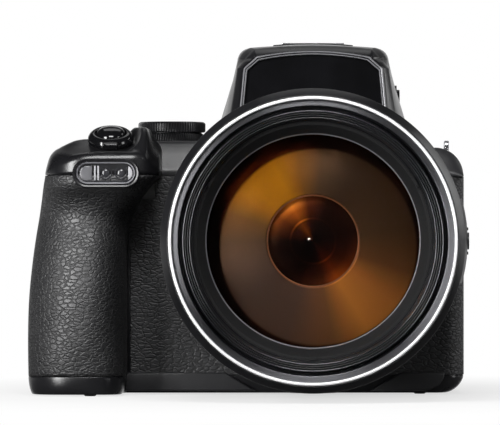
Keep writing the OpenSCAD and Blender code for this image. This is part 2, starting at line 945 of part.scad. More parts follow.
module accessory_shoe() {
    color("#b9bbbd") difference() {
        box([-shoe_out, shoe_y0, shoe_z], [shoe_out, roof_rear, total_h]);
        box([-shoe_slot / 2, shoe_y0 + shoe_wall, shoe_z + shoe_base],
            [shoe_slot / 2, roof_rear + over, total_h - shoe_rail]);
        box([-shoe_gap / 2, shoe_y0 + shoe_wall, shoe_z + shoe_base],
            [shoe_gap / 2, roof_rear + over, total_h + over]);
    }
}

module eyecup() {
    color("#1d1d1e") difference() {
        along_y(hump_rear + gap, eyecup_rear)
            polygon(round_rect(-cup_half, cup_half, eyepiece_h - cup_high, eyepiece_h + cup_high, cup_r));
        along_y(hump_rear, eyecup_rear + over)
            polygon(view_outline(0));
        along_y(eyecup_rear - cup_deep, eyecup_rear + over)
            polygon(round_rect(-cup_half + cup_lip, cup_half - cup_lip,
                eyepiece_h - cup_high + cup_lip, eyepiece_h + cup_high - cup_lip, cup_r - cup_lip));
    }
}

module eyepiece_lens() {
    color("#8f9aa5") along_y(hump_rear + eye_lens_in, hump_rear + eye_lens_in + eye_lens_t)
        polygon(view_outline(gap));
}

module evf_display() {
    color("#333338") difference() {
        box([-evf_half, evf_front, eyepiece_h - evf_high],
            [evf_half, hump_rear - wall - gap, eyepiece_h + evf_high]);
        box([-evf_half + evf_wall, evf_front + evf_back, eyepiece_h - evf_high + evf_wall],
            [evf_half - evf_wall, hump_rear, eyepiece_h + evf_high - evf_wall]);
    }
}

module af_window() {
    color("#151516") difference() {
        along_y(-head_reach + panel_in, -head_reach + af_depth) polygon(af_pill(0));
        for (x = af_eyes) translate([af_x + x, -head_reach, af_h])
            rotate([-90, 0, 0]) disc(0, over, af_eye_r);
    }
}

module strap_lugs() {
    color("#c4c6c8") for (side = [1, -1]) {
        x = side > 0 ? lug_right : lug_left;
        z = lug_low(side);
        difference() {
            along_x(x, x + lug_t)
                polygon(round_rect(lug_y - lug_l / 2, lug_y + lug_l / 2, z, z + lug_h, lug_round));
            along_x(x - over, x + lug_t + over)
                polygon(round_rect(lug_y - lug_l / 2 + lug_bar, lug_y + lug_l / 2 - lug_bar,
                    z + lug_bar, z + lug_h - lug_bar, lug_round - lug_bar / 4));
        }
    }
}

module tripod_bush() {
    color("#a9abad") difference() {
        union() {
            disc(0, floor_z, bush_r);
            disc(floor_z, floor_z + bush_flange_t, bush_flange);
            disc(floor_z, bush_top, bush_neck);
        }
        disc(-over, tripod_l, tripod_r);
    }
}

module case_screws() {
    color("#6b6d70") for (p = screws) translate(p) {
        disc(base_z + gap, base_z + screw_head + gap, screw_r);
        disc(base_z + screw_head + gap, floor_z + screw_l, screw_r / 2);
    }
}

module main_board() {
    color("#1f5a3a") {
        box([board_x0, board_y, board_z0], [board_x1, board_y + board_t, board_z1]);
        box([cpu_at[0], board_y - cpu_t, cpu_at[1]], [cpu_at[0] + cpu_w, board_y, cpu_at[1] + cpu_w]);
        box([memory_at[0], board_y - cpu_t, memory_at[1]],
            [memory_at[0] + memory_w, board_y, memory_at[1] + memory_w]);
    }
}

module battery() {
    color("#3c4a58") box([bay_x0 + bay_t + fit, bay_y0 + bay_t + fit, bay_z],
        [bay_x1 - bay_t - fit, bay_y1 - bay_t - fit, bay_top - bay_t - over]);
}

module battery_case() {
    color("#38383a") difference() {
        box([bay_x0, bay_y0, bay_z], [bay_x1, bay_y1, bay_top]);
        box([bay_x0 + bay_t, bay_y0 + bay_t, bay_z - over],
            [bay_x1 - bay_t, bay_y1 - bay_t, bay_top - bay_t]);
    }
}

module battery_door() {
    color("#242426") difference() {
        union() {
            box([door_x0, door_y0, base_z], [door_axis_x, door_y1, base_z + door_t]);
            translate([door_axis_x, door_y0, door_axis_z])
                rotate([-90, 0, 0]) disc(0, door_y1 - door_y0, knuckle_r);
        }
        translate([door_axis_x, door_y0 - over, door_axis_z]) rotate([-90, 0, 0])
            disc(0, door_y1 - door_y0 + 2 * over, pin_r + gap / 2);
    }
}

module image_sensor() {
    color("#35506b") {
        box([-gate_half - sensor_edge, seam_d + chassis_t, axis_h - gate_high - sensor_edge],
            [gate_half + sensor_edge, seam_d + chassis_t + sensor_t, axis_h + gate_high + sensor_edge]);
        box([-chip_half, seam_d + chassis_t - chip_t, axis_h - chip_high],
            [chip_half, seam_d + chassis_t, axis_h + chip_high]);
    }
}

module lens_chassis() {
    color("#47484b") {
        difference() {
            union() {
                rod_f(chassis_f - chassis_t, chassis_f, tube_out);
                box([motor_x - motor_r - over, seam_d, motor_z - motor_r - over],
                    [0, seam_d + chassis_t, motor_z + motor_r + over]);
                box([0, seam_d, axis_h - motor_r],
                    [body_reach - wall - gap, seam_d + chassis_t, axis_h + motor_r]);
            }
            box([-gate_half, seam_d - over, axis_h - gate_high],
                [gate_half, seam_d + chassis_t + over, axis_h + gate_high]);
        }
        for (s = [-1, 1]) on_axis() translate([0, s * rod_ring, 0]) disc(chassis_f - over, rod_front, rod_r);
    }
}

module lever_pocket() {
    box([pocket_x, -side_f1 - fit, axis_h - side_half - side_travel - fit],
        [bulge_r + over, -side_f0 + fit, axis_h + side_half + side_travel + fit]);
}

module fixed_barrel() {
    color("#1b1b1c") difference() {
        union() {
            on_axis() rotate_extrude() polygon([
                [barrel_in, chassis_f], [tube_out, chassis_f],
                [tube_out, front_d + gap], [barrel_r, front_d + gap],
                [barrel_r, control_back], [control_in, control_back], [control_in, control_front],
                [barrel_r, control_front], [barrel_r, barrel_front - barrel_round],
                [barrel_r - barrel_round, barrel_front],
                [middle_r + running, barrel_front], [middle_r + running, barrel_front - lip],
                [barrel_in, barrel_front - lip]]);
            on_axis() rotate([0, 0, -bulge_half]) rotate_extrude(angle = 2 * bulge_half) polygon([
                [control_in, bulge_back], [bulge_r - bulge_edge, bulge_back],
                [bulge_r, bulge_back + bulge_run],
                [bulge_r, bulge_front - bulge_run], [bulge_r - bulge_edge, bulge_front],
                [control_in, bulge_front]]);
        }
        lever_pocket();
        on_right(pocket_x, -snap_f, axis_h) disc(-over, bulge_r - pocket_x + over, snap_r + fit);
    }
}

module zoom_motor() {
    color("#8d8f92") translate([motor_x, seam_d, motor_z]) rotate([90, 0, 0]) {
        disc(0, motor_l, motor_r);
        disc(motor_l, motor_l + motor_shaft, motor_shaft_r);
    }
}

module connector_block() {
    color("#3a3a3d") difference() {
        box([block_x0, port_y0, port_z0], [body_reach - wall - gap, port_y1, port_z1]);
        box([block_x0 + wall, port_mid - socket_half, port_z0 + video_z],
            [body_reach, port_mid + socket_half, port_z0 + video_z + video_l]);
        box([block_x0 + wall, port_mid - socket_half, port_z0 + data_z],
            [body_reach, port_mid + socket_half, port_z0 + data_z + data_l]);
        on_right(block_x0 + wall, port_mid, port_z0 + jack_z) disc(0, body_reach - block_x0, jack_r);
    }
}

module connector_cover() {
    color("#2c2c2e") {
        box([body_reach - port_t, port_y0 + port_pivot + fit, port_z0 + fit],
            [body_reach, port_y1 - fit, port_z1 - fit]);
        translate([body_reach - port_pivot, port_y0 + port_pivot + fit, 0])
            disc(port_z0 + fit, port_z1 - fit, port_pivot);
    }
}

module hinge_pins() {
    color("#9a9ca0") {
        translate([-flash_half - 2, flash_axis_y, flash_axis_h]) rotate([0, 90, 0])
            disc(0, 2 * flash_half + 4, pin_r);
        translate([door_axis_x, door_y0 - ear_l, door_axis_z]) rotate([-90, 0, 0])
            disc(0, door_y1 - door_y0 + 2 * ear_l, pin_r);
        translate([pivot_x, pivot_y, 0]) disc(monitor_z0 + over, monitor_z1 - over, pivot_pin);
    }
}

module control_ring() {
    color("#141415") on_axis() translate([0, 0, control_back + fit]) difference() {
        linear_extrude(control_front - control_back - 2 * fit)
            polygon(toothed(control_out, control_teeth, control_knurl));
        disc(-over, control_front, control_in + running, fine_round);
    }
}

module middle_barrel() {
    color("#1a1a1b") on_axis() rotate_extrude() polygon([
        [middle_in, middle_back], [barrel_in - running, middle_back],
        [barrel_in - running, middle_back + collar],
        [middle_r, middle_back + collar], [middle_r, middle_front], [inner_r + running, middle_front],
        [inner_r + running, middle_front - lip], [middle_in, middle_front - lip]]);
}

module front_barrel() {
    color("#1e1e1f") on_axis() rotate_extrude() polygon([
        [inner_in, inner_back], [middle_in - running, inner_back], [middle_in - running, inner_back + collar],
        [inner_r, inner_back + collar], [inner_r, web_back], [skirt_in, web_back], [skirt_in, flange_back],
        [flange_r, flange_back], [flange_r, chamfer_f],
        [silver_out, lens_front - rim_step], [silver_out, silver_f],
        [silver_in, silver_f], [silver_in, lens_front - rim_round],
        [bevel_in, lens_front - bevel_drop], [bevel_in, web_front],
        [bevel_in - hood_gap, web_front], [bevel_in - hood_gap, ring_front - rim_step],
        [bevel_in - hood_gap - rim_step, ring_front], [thread_r, ring_front], [thread_r, thread_back],
        [inner_in, thread_back], [inner_in, lens_rear(seat_r) - gap], [seat_r, lens_rear(seat_r) - gap],
        [seat_r, lens_rear(seat_r) - gap - lip], [inner_in, lens_rear(seat_r) - gap - lip]]);
}

module silver_ring() {
    color("#d8d9da") on_axis() rotate_extrude() polygon([
        [silver_in + gap, silver_f], [silver_out - gap, silver_f], [silver_out - gap, lens_front - rim_round],
        [silver_out - gap - rim_round, lens_front], [silver_in + gap + rim_round, lens_front],
        [silver_in + gap, lens_front - rim_round]]);
}

// Ball radius that gives a lens face its sag
function ball(r, sag) = (r * r + sag * sag) / (2 * sag);

// How far forward the front lens reaches at a given radius
function lens_face(r) = let (b = ball(lens_r, lens_sag)) lens_edge + lens_sag - b + sqrt(b * b - r * r);

// How far back it reaches at a given radius
function lens_rear(r) = let (b = ball(lens_r, lens_back_sag))
    lens_edge - lens_edge_t - lens_back_sag + b - sqrt(b * b - r * r);

module lens_retainer() {
    color("#131314") on_axis() rotate_extrude() polygon([
        [retainer_r, lens_edge + rim_round], [retainer_r, thread_back],
        [retainer_r - retainer_lip, thread_back],
        [glass_r, lens_face(glass_r) + rim_round + retainer_edge],
        [glass_r, lens_face(glass_r) + rim_round]]);
}

// Half section of a lens, f is the front of its straight edge
function lens_half(r, f, t, front_sag, back_sag, n = 10) =
    let (b0 = ball(r, back_sag), b1 = ball(r, front_sag), a0 = asin(r / b0), a1 = asin(r / b1)) concat(
    [for (k = [0 : n]) let (a = a0 * k / n) [b0 * sin(a), f - t - back_sag + b0 * (1 - cos(a))]],
    [for (k = [n : -1 : 0]) let (a = a1 * k / n) [b1 * sin(a), f + front_sag - b1 * (1 - cos(a))]]);

module lens_form(r, f, t, front_sag, back_sag) {
    on_axis() rotate_extrude() polygon(lens_half(r, f, t, front_sag, back_sag));
}

module front_lens() {
    color("#7a5a3a") lens_form(lens_r, lens_edge, lens_edge_t, lens_sag, lens_back_sag);
}

module inner_lens_cell() {
    color("#2a1c14") difference() {
        union() {
            on_axis() rotate_extrude() polygon([
                [cell_r, cell_back - cell_hub], [cell_r + hub_wall, cell_back - cell_hub],
                [cell_r + hub_wall, cell_back],
                [cell_out, cell_back], [cell_out, cell_back + cell_t],
                [cell_out - cell_rim, cell_back + cell_t],
                [cell_r, cell_back + cell_dish]]);
            for (s = [0, 180]) on_axis() rotate([0, 0, s])
                box([-cell_ear, cell_out - cell_rim, cell_back],
                    [cell_ear, rod_ring + rod_r + ear_wall, cell_back + cell_t - cell_rim]);
        }
        for (s = [-1, 1]) on_axis() translate([0, s * rod_ring, 0])
            disc(cell_back - over, cell_back + cell_t + over, rod_r + running / 2);
    }
}

module inner_lens() {
    color("#4a2c1c") lens_form(cell_r - gap / 2, inner_edge, inner_t, inner_sag, inner_sag);
}

module iris_blades() {
    color("#3a3c3f") on_axis() difference() {
        disc(cell_back - cell_hub, cell_back - cell_hub + iris_t, cell_r - gap / 2);
        disc(cell_back - cell_hub - over, cell_back, iris_r);
    }
}

module mode_dial() {
    color("#1c1c1d") translate([mode_x, mode_y, top_h]) {
        disc(-wall - spindle_l, gap, spindle_r);
        along_z(gap, mode_step) polygon(toothed(mode_lower, lower_teeth, knurl));
        along_z(mode_step, mode_t) polygon(toothed(mode_r, mode_teeth, knurl));
        disc(mode_t, mode_t + mode_cap, mode_r - mode_cap);
    }
}

module command_dial() {
    color("#1c1c1d") translate([command_x, command_y, command_z]) difference() {
        along_z(0, command_t) polygon(toothed(command_r, command_teeth, knurl));
        disc(-over, command_t + over, command_axle + running);
    }
}

module shutter_button() {
    color("#303032") on_platform() {
        disc(-hub_l - 2 * gap - keeper_t, -hub_l - 2 * gap, hub_r - fit);
        disc(-hub_l - 2 * gap, shutter_out, shutter_r);
    }
}

module zoom_lever() {
    color("#202022") on_platform() difference() {
        union() {
            disc(-hub_l, gap, hub_r);
            disc(gap, lever_t, lever_r);
            box([-tab_half, -lever_r - tab_out, tab_low], [tab_half, -shutter_r - over, tab_top]);
        }
        disc(-hub_l - over, lever_t + over, shutter_r + fit);
    }
}

module power_button() {
    color("#2a2a2c") translate([power_x, power_y, top_h]) cap(power_r, cap_out);
}

module fn_button() {
    color("#2a2a2c") translate([fn_x, fn_y, top_h]) cap(button_r, cap_out);
}

module side_zoom_lever() {
    color("#262628") {
        box([pocket_x + gap, -side_f1, axis_h - side_half], [bulge_r, -side_f0, axis_h + side_half]);
        for (k = [-2 : 2])
            box([bulge_r, -side_f1 + over, axis_h + ridge_step * k - ridge],
                [bulge_r + ridge, -side_f0 - over, axis_h + ridge_step * k + ridge]);
    }
}

module snap_back_button() {
    color("#2a2a2c") on_right(pocket_x, -snap_f, axis_h)
        disc(-over + button_travel + gap, bulge_r - pocket_x + ridge, snap_r);
}

module flash_head() {
    color("#242426") difference() {
        union() {
            difference() {
                intersection() {
                    hump_form(0);
                    box([-hump_foot, -hump_front, lid_h], [hump_foot, flash_axis_y, hump_h + over]);
                }
                flash_ears(0);
                translate([-flash_half, flash_axis_y, flash_axis_h]) rotate([0, 90, 0])
                    disc(0, 2 * flash_half, flash_barrel_r);
            }
            translate([-flash_half, flash_axis_y, flash_axis_h]) rotate([0, 90, 0])
                disc(0, 2 * flash_half, flash_barrel_r);
            along_x(-module_half, module_half)
                polygon(concat(module_face, module_back));
        }
        translate([-flash_half - over, flash_axis_y, flash_axis_h]) rotate([0, 90, 0])
            disc(0, 2 * flash_half + 2 * over, pin_r + gap / 2);
    }
}

module flash_window() {
    color("#e6e8ea") along_x(-module_half + window_in, module_half - window_in) polygon([
        module_face[0] + window_edge * face_run, module_face[1] - window_edge * face_run,
        module_face[1] - window_edge * face_run + window_t * face_out,
        module_face[0] + window_edge * face_run + window_t * face_out]);
}

module flash_release() {
    color("#2a2a2c") on_right(hump_side(release_z), release_y, release_z) disc(-2 * wall, cap_out, release_r);
}

module diopter_dial() {
    color("#1c1c1d") on_right(hump_side(diopter_z), diopter_y, diopter_z) {
        disc(-wall - 1, 0, diopter_r - 1);
        along_z(-wall, diopter_out) polygon(toothed(diopter_r, diopter_teeth, fine_knurl));
    }
}

module monitor_arm() {
    color("#29292b") difference() {
        union() {
            translate([pivot_x, pivot_y, 0]) disc(arm_z0, arm_z1, arm_r);
            box([monitor_x1 + gap, monitor_y0 + arm_in, arm_z0], [pivot_x, monitor_y1 - arm_in, arm_z1]);
            on_right(monitor_x1 - stub_l, (monitor_y0 + monitor_y1) / 2, (arm_z0 + arm_z1) / 2)
                disc(0, stub_l + over, stub_r);
        }
        translate([pivot_x, pivot_y, 0]) disc(arm_z0 - over, arm_z1 + over, pivot_pin + running / 2);
    }
}

module monitor_housing() {
    color("#232325") difference() {
        along_y(monitor_y0, monitor_y1)
            polygon(round_rect(monitor_x0, monitor_x1, monitor_z0, monitor_z1, monitor_r));
        along_y(monitor_y1 - glass_t, monitor_y1 + over)
            polygon(glass_outline(0));
        on_right(monitor_x1 - stub_l - gap, (monitor_y0 + monitor_y1) / 2, (arm_z0 + arm_z1) / 2)
            disc(0, stub_l + over, stub_r + gap / 2);
    }
}

module screen_glass() {
    color("#0b0c0e") along_y(monitor_y1 - glass_t, monitor_y1 - gap)
        polygon(glass_outline(gap));
}

module movie_button() {
    color("#2a2a2c") on_rear(movie_at, rear_d) cap(button_r, cap_out);
}

module af_selector() {
    color("#242426") on_rear([af_ring_x, af_ring_z], rear_d) difference() {
        union() {
            cap(af_ring_r, ring_out);
            box([-lever_half, -af_ring_r - lever_out, gap], [lever_half, 0, ring_out]);
        }
        disc(-2 * wall, 2 * wall, ael_r + fit);
    }
}

module ael_button() {
    color("#2d2d2f") on_rear([af_ring_x, af_ring_z], rear_d) {
        disc(-wall - 2 * flange_deep - button_travel, -wall - flange_deep - gap, ael_r + flange_w);
        disc(-wall - flange_deep - gap, centre_out, ael_r);
    }
}

module play_button() {
    color("#2a2a2c") on_rear(play_at, rear_d) cap(button_r, cap_out);
}

module menu_button() {
    color("#2a2a2c") on_rear(menu_at, rear_d) cap(button_r, cap_out);
}

module delete_button() {
    color("#2a2a2c") on_rear(delete_at, rear_d) cap(button_r, cap_out);
}

module display_button() {
    color("#2a2a2c") on_rear(display_at, rear_d) cap(button_r, cap_out);
}

module multi_selector() {
    color("#202022") on_rear([selector_x, selector_z], rear_d) difference() {
        union() {
            disc(-wall - flange_deep, -wall - gap, selector_r + flange_w);
            along_z(-wall - gap, selector_out) polygon(toothed(selector_r, selector_teeth, fine_knurl));
        }
        disc(-2 * wall, 2 * wall, ok_r + fit);
    }
}

module ok_button() {
    color("#2d2d2f") on_rear([selector_x, selector_z], rear_d) {
        disc(-wall - 2 * flange_deep - button_travel, -wall - flange_deep - gap, ok_r + flange_w);
        disc(-wall - flange_deep - gap, centre_out, ok_r);
    }
}

front_cover();
rear_cover();
top_cover();
base_plate();
hump_housing();
grip_rubber();
leatherette_pads();
accessory_shoe();
eyecup();
eyepiece_lens();
evf_display();
af_window();
strap_lugs();
tripod_bush();
case_screws();
main_board();
battery();
battery_case();
battery_door();
image_sensor();
lens_chassis();
fixed_barrel();
zoom_motor();
connector_block();
connector_cover();
hinge_pins();
front_panel();
control_ring();
middle_barrel();
front_barrel();
silver_ring();
lens_retainer();
front_lens();
inner_lens_cell();
inner_lens();
iris_blades();
mode_dial();
command_dial();
shutter_button();
zoom_lever();
power_button();
fn_button();
side_zoom_lever();
snap_back_button();
flash_head();
flash_window();
flash_release();
diopter_dial();
monitor_arm();
monitor_housing();
screen_glass();
movie_button();
af_selector();
ael_button();
play_button();
menu_button();
delete_button();
display_button();
multi_selector();
ok_button();
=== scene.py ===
# %% [markdown]
# # Bridge camera
# A long-zoom camera with a fixed lens, seen straight from the front on the axis of its lens.
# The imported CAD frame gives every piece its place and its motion. This lesson gives the pieces their looks.
# Forms that the eye rests on are built again as finer meshes, and the other CAD pieces keep their shape
# and get rounded edges and a surface.

# %% Load the frame
import math

import bmesh
import bpy
from mathutils import Matrix, Vector


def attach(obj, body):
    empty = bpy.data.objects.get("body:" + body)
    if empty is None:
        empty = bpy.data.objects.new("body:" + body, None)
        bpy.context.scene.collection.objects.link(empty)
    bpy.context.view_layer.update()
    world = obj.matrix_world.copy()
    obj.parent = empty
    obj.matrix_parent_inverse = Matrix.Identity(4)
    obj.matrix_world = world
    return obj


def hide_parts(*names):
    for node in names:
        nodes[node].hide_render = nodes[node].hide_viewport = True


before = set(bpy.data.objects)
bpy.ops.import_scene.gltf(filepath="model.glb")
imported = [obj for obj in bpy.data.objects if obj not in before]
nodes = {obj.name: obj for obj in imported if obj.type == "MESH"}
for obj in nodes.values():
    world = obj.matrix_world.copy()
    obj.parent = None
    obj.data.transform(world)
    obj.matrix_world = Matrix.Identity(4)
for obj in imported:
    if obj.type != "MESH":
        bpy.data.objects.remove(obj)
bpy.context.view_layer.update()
mm = 0.001
lens_z = 51.5

# %% [markdown]
# ## Surfaces
# A camera is black in a dozen ways: spark-eroded plastic, pebbled rubber, turned and anodised metal,
# gloss covers and coated glass. Each surface is built from noise or cells at its real size in millimetres.
# Colours are written as screen colours and turned into light values by one function.

# %% Helpers for materials
def linear(code):
    """A screen colour such as #808080 as linear light."""
    values = []
    for start in (1, 3, 5):
        v = int(code[start:start + 2], 16) / 255
        values.append(v / 12.92 if v <= 0.04045 else ((v + 0.055) / 1.055) ** 2.4)
    return (*values, 1.0)


def feed(tree, node, inputs):
    """Fills a node's inputs by name: a socket is linked, and a plain value is written on the input."""
    for name, value in inputs.items():
        if isinstance(value, bpy.types.NodeSocket):
            tree.links.new(value, node.inputs[name])
        else:
            node.inputs[name].default_value = value


def add(tree, kind, inputs=None, stops=None, **settings):
    """Adds one node, with its settings, its inputs, and the stops of a colour ramp."""
    node = tree.nodes.new(kind)
    for name, value in settings.items():
        setattr(node, name, value)
    feed(tree, node, inputs or {})
    if stops:
        marks = node.color_ramp.elements
        marks[0].position, marks[0].color = stops[0][0], linear(stops[0][1])
        marks[1].position, marks[1].color = stops[-1][0], linear(stops[-1][1])
        for at, code in stops[1:-1]:
            marks.new(at).color = linear(code)
    return node


def blank(name):
    """A material with one shader, and the object's own coordinates to build on."""
    mat = bpy.data.materials.new(name)
    mat.use_nodes = True
    tree = mat.node_tree
    tree.nodes.clear()
    shader = add(tree, "ShaderNodeBsdfPrincipled")
    add(tree, "ShaderNodeOutputMaterial", {"Surface": shader.outputs["BSDF"]})
    place = add(tree, "ShaderNodeTexCoord").outputs["Object"]
    return mat, tree, shader, place


def grained(name, light, dark, rough, grain, relief, patch=14, **sockets):
    """A moulded, blasted or painted surface: fine grain in relief, and slow changes of tone and gloss."""
    mat, tree, shader, place = blank(name)
    fine = add(tree, "ShaderNodeTexNoise", {"Vector": place, "Scale": 1 / (grain * mm), "Detail": 3.0})
    slow = add(tree, "ShaderNodeTexNoise", {"Vector": place, "Scale": 1 / (patch * mm), "Detail": 4.0})
    tone = add(tree, "ShaderNodeValToRGB", {"Fac": slow.outputs["Fac"]}, [(0.3, dark), (0.7, light)])
    gloss = add(tree, "ShaderNodeMapRange", {"Value": slow.outputs["Fac"], "From Min": 0.3, "From Max": 0.7,
                                             "To Min": rough - 0.04, "To Max": rough + 0.04})
    bump = add(tree, "ShaderNodeBump", {"Height": fine.outputs["Fac"], "Distance": relief * mm})
    feed(tree, shader, {"Base Color": tone.outputs["Color"], "Roughness": gloss.outputs["Result"],
                        "Normal": bump.outputs["Normal"]})
    feed(tree, shader, {socket.replace("_", " "): value for socket, value in sockets.items()})
    return mat


# %% [markdown]
# The plain surfaces differ in the size of their grain, in gloss and in tone.

# %% Plain surfaces
# Satin plastic comes from a mould whose wall was spark-eroded to a grain of about a third of a millimetre.
satin = grained("satin_plastic_spark_eroded", "#161618", "#111113", 0.3, 0.35, 0.015)
# The head comes from a finer mould, so light runs along its edges.
head_plastic = grained("satin_plastic_fine_mould", "#121214", "#0e0e10", 0.29, 0.3, 0.01)
# The shoulder beside the dial is the same plastic, drawn duller and a little lighter; the lighter tone is a
# painted highlight, also used on the skirts.
painted = grained("satin_plastic_painted_highlight", "#242426", "#1c1c1e", 0.42, 0.3, 0.03)
# Gloss plastic comes from a polished mould, with faint waviness.
gloss_black = grained("gloss_plastic_polished_mould", "#0c0c0e", "#080809", 0.1, 6.0, 0.01)
# Buttons and dials are satin too, with a finer grain.
control = grained("control_plastic_fine_grain", "#0f0f11", "#0b0b0d", 0.36, 0.2, 0.015,
                  Specular_IOR_Level=0.3)
# Turned aluminium, black anodised, for the lens rings.
anodised = grained("black_anodised_turned", "#121214", "#0d0d0f", 0.34, 0.25, 0.01)
# Matt flocking and paint inside the lens.
flock = grained("matt_black_paint", "#09090a", "#050506", 0.72, 0.3, 0.03, Specular_IOR_Level=0.25)
# Bright trim is diamond-turned and anodised clear.
silver = grained("clear_anodised_diamond_turned", "#f2f2f2", "#e6e6e8", 0.3, 0.2, 0.004, Metallic=0.35)
# Stamped and tumbled steel for lugs, shoe, pins and screws.
steel = grained("tumbled_steel", "#c9c9cc", "#b2b2b6", 0.28, 0.4, 0.01, Metallic=1.0)
# Soft moulded rubber of the eyecup.
soft_rubber = grained("moulded_eyecup_rubber", "#151516", "#101011", 0.62, 0.5, 0.03)
# Die-cast chassis, board and battery inside.
cast = grained("die_cast_chassis", "#6a6a6c", "#58585a", 0.5, 0.8, 0.05, Metallic=0.8)
board = grained("solder_masked_board", "#184a30", "#123c27", 0.4, 1.2, 0.05)
wrap = grained("printed_battery_wrap", "#3a3a40", "#2c2c31", 0.4, 0.6, 0.02)
print("plain surfaces made")

# %% [markdown]
# ## Grained rubber
# The grip and the pads are moulded with a leather-like grain: flat pebbles a millimetre across with
# creases between them. Cells with soft borders give the creases, and a slow noise makes them uneven.

# %% Leather grain
def leather(name, cell, depth, light, dark, sheen):
    """Pebbled grain: flat cells with creases between them, a little longer along the camera."""
    mat, tree, shader, place = blank(name)
    stretch = add(tree, "ShaderNodeMapping", {"Vector": place, "Scale": (0.62, 0.9, 1.2)})
    wander = add(tree, "ShaderNodeTexNoise", {"Vector": place, "Scale": 1 / (3 * mm), "Detail": 2.0})
    shifted = add(tree, "ShaderNodeVectorMath", {0: wander.outputs["Color"], 1: (cell * mm,) * 3,
                                                 2: stretch.outputs["Vector"]}, operation="MULTIPLY_ADD")
    cells = add(tree, "ShaderNodeTexVoronoi", {"Vector": shifted.outputs["Vector"], "Scale": 1 / (cell * mm)},
                feature="DISTANCE_TO_EDGE")
    crown = add(tree, "ShaderNodeMapRange", {"Value": cells.outputs["Distance"], "From Max": 0.2},
                interpolation_type="SMOOTHSTEP")
    bump = add(tree, "ShaderNodeBump", {"Height": crown.outputs["Result"], "Distance": depth * mm})
    # The creases are coloured darker than the pebbles, a painted shade on top of their relief.
    tone = add(tree, "ShaderNodeValToRGB", {"Fac": crown.outputs["Result"]}, [(0.0, dark), (0.8, light)])
    gloss = add(tree, "ShaderNodeMapRange", {"Value": crown.outputs["Result"], "To Min": 0.7, "To Max": 0.49})
    feed(tree, shader, {"Base Color": tone.outputs["Color"], "Roughness": gloss.outputs["Result"],
                        "Normal": bump.outputs["Normal"], "Specular IOR Level": sheen})
    return mat


grip_leather = leather("grained_grip_rubber", 1.45, 0.12, "#141416", "#040405", 0.8)
pad_leather = leather("grained_pad_rubber", 1.5, 0.11, "#1d1d1f", "#09090a", 0.6)
print("leather grain made")

# %% [markdown]
# ## Coated glass
# The front element is a thin shell of clear glass with a low-reflection coating.
# Behind it the coatings of the inner groups show amber, and their bright fans are painted highlights:
# a colour ramp by angle round the axis, with some real shine from the lamps on top.

# %% Glass
def glass(name, tint, ior, rough):
    """Clear glass or clear plastic, with a breath of dust on it."""
    mat, tree, shader, place = blank(name)
    dust = add(tree, "ShaderNodeTexNoise", {"Vector": place, "Scale": 1 / (4 * mm), "Detail": 5.0})
    film = add(tree, "ShaderNodeMapRange", {"Value": dust.outputs["Fac"], "From Min": 0.4, "From Max": 0.8,
                                            "To Min": rough, "To Max": rough + 0.01})
    feed(tree, shader, {"Roughness": film.outputs["Result"], "Base Color": linear(tint), "IOR": ior,
                        "Transmission Weight": 1.0})
    return mat


front_glass = glass("coated_front_element", "#fff8f0", 1.22, 0.0)
clear_glass = glass("clear_eyepiece_glass", "#f2f6f6", 1.5, 0.02)
flash_lens = glass("ribbed_flash_cover", "#f4f4f0", 1.49, 0.12)


# A quarter of a turn draws the shine out across the turned rings instead of along them.
quarter_turn = 0.25


def fanned(name, fan, rings, rough, metal, centre=(0, 0)):
    """A coated surface round the lens axis: colour by angle with painted highlight fans, darkened by distance
    from a centre in mm.
    """
    mat, tree, shader, place = blank(name)
    turned_to_face = (-math.pi / 2, 0, 0)
    flat = add(tree, "ShaderNodeMapping", {"Vector": place, "Rotation": turned_to_face,
                                           "Location": (0, -lens_z * mm, 0)})
    angle = add(tree, "ShaderNodeTexGradient", {"Vector": flat.outputs["Vector"]}, gradient_type="RADIAL")
    colour = add(tree, "ShaderNodeValToRGB", {"Fac": angle.outputs["Fac"]}, fan)
    reach = 1 / (36 * mm)
    round_spot = add(tree, "ShaderNodeMapping", {
        "Vector": place, "Rotation": turned_to_face, "Scale": (reach, 0, reach),
        "Location": (-centre[0] * mm * reach, -(lens_z + centre[1]) * mm * reach, 0)})
    distance = add(tree, "ShaderNodeTexGradient", {"Vector": round_spot.outputs["Vector"]},
                   gradient_type="SPHERICAL")
    shade = add(tree, "ShaderNodeValToRGB", {"Fac": distance.outputs["Fac"]}, rings)
    both = add(tree, "ShaderNodeMix", {"Factor": 1.0, "A": colour.outputs["Color"],
                                       "B": shade.outputs["Color"]}, data_type="RGBA", blend_type="MULTIPLY")
    round_axis = add(tree, "ShaderNodeVectorMath", {0: flat.outputs["Vector"], 1: (0, 0, 1)},
                     operation="CROSS_PRODUCT")
    upright = add(tree, "ShaderNodeMapping", {"Vector": round_axis.outputs["Vector"],
                                              "Rotation": (math.pi / 2, 0, 0)}, vector_type="VECTOR")
    feed(tree, shader, {"Tangent": upright.outputs["Vector"], "Base Color": both.outputs["Result"],
                        "Roughness": rough, "Metallic": metal, "Specular IOR Level": 0.05,
                        "Anisotropic": 0.4, "Anisotropic Rotation": quarter_turn})
    return mat


def fan_ramp(left, marks):
    """A ramp once round the axis from the left, through the bottom, with marks (degrees, colour).

    Degrees count from the right, leftwards over the top.
    """
    return [(0.0, left), *(((degrees + 180) % 360 / 360, code) for degrees, code in marks), (1.0, left)]
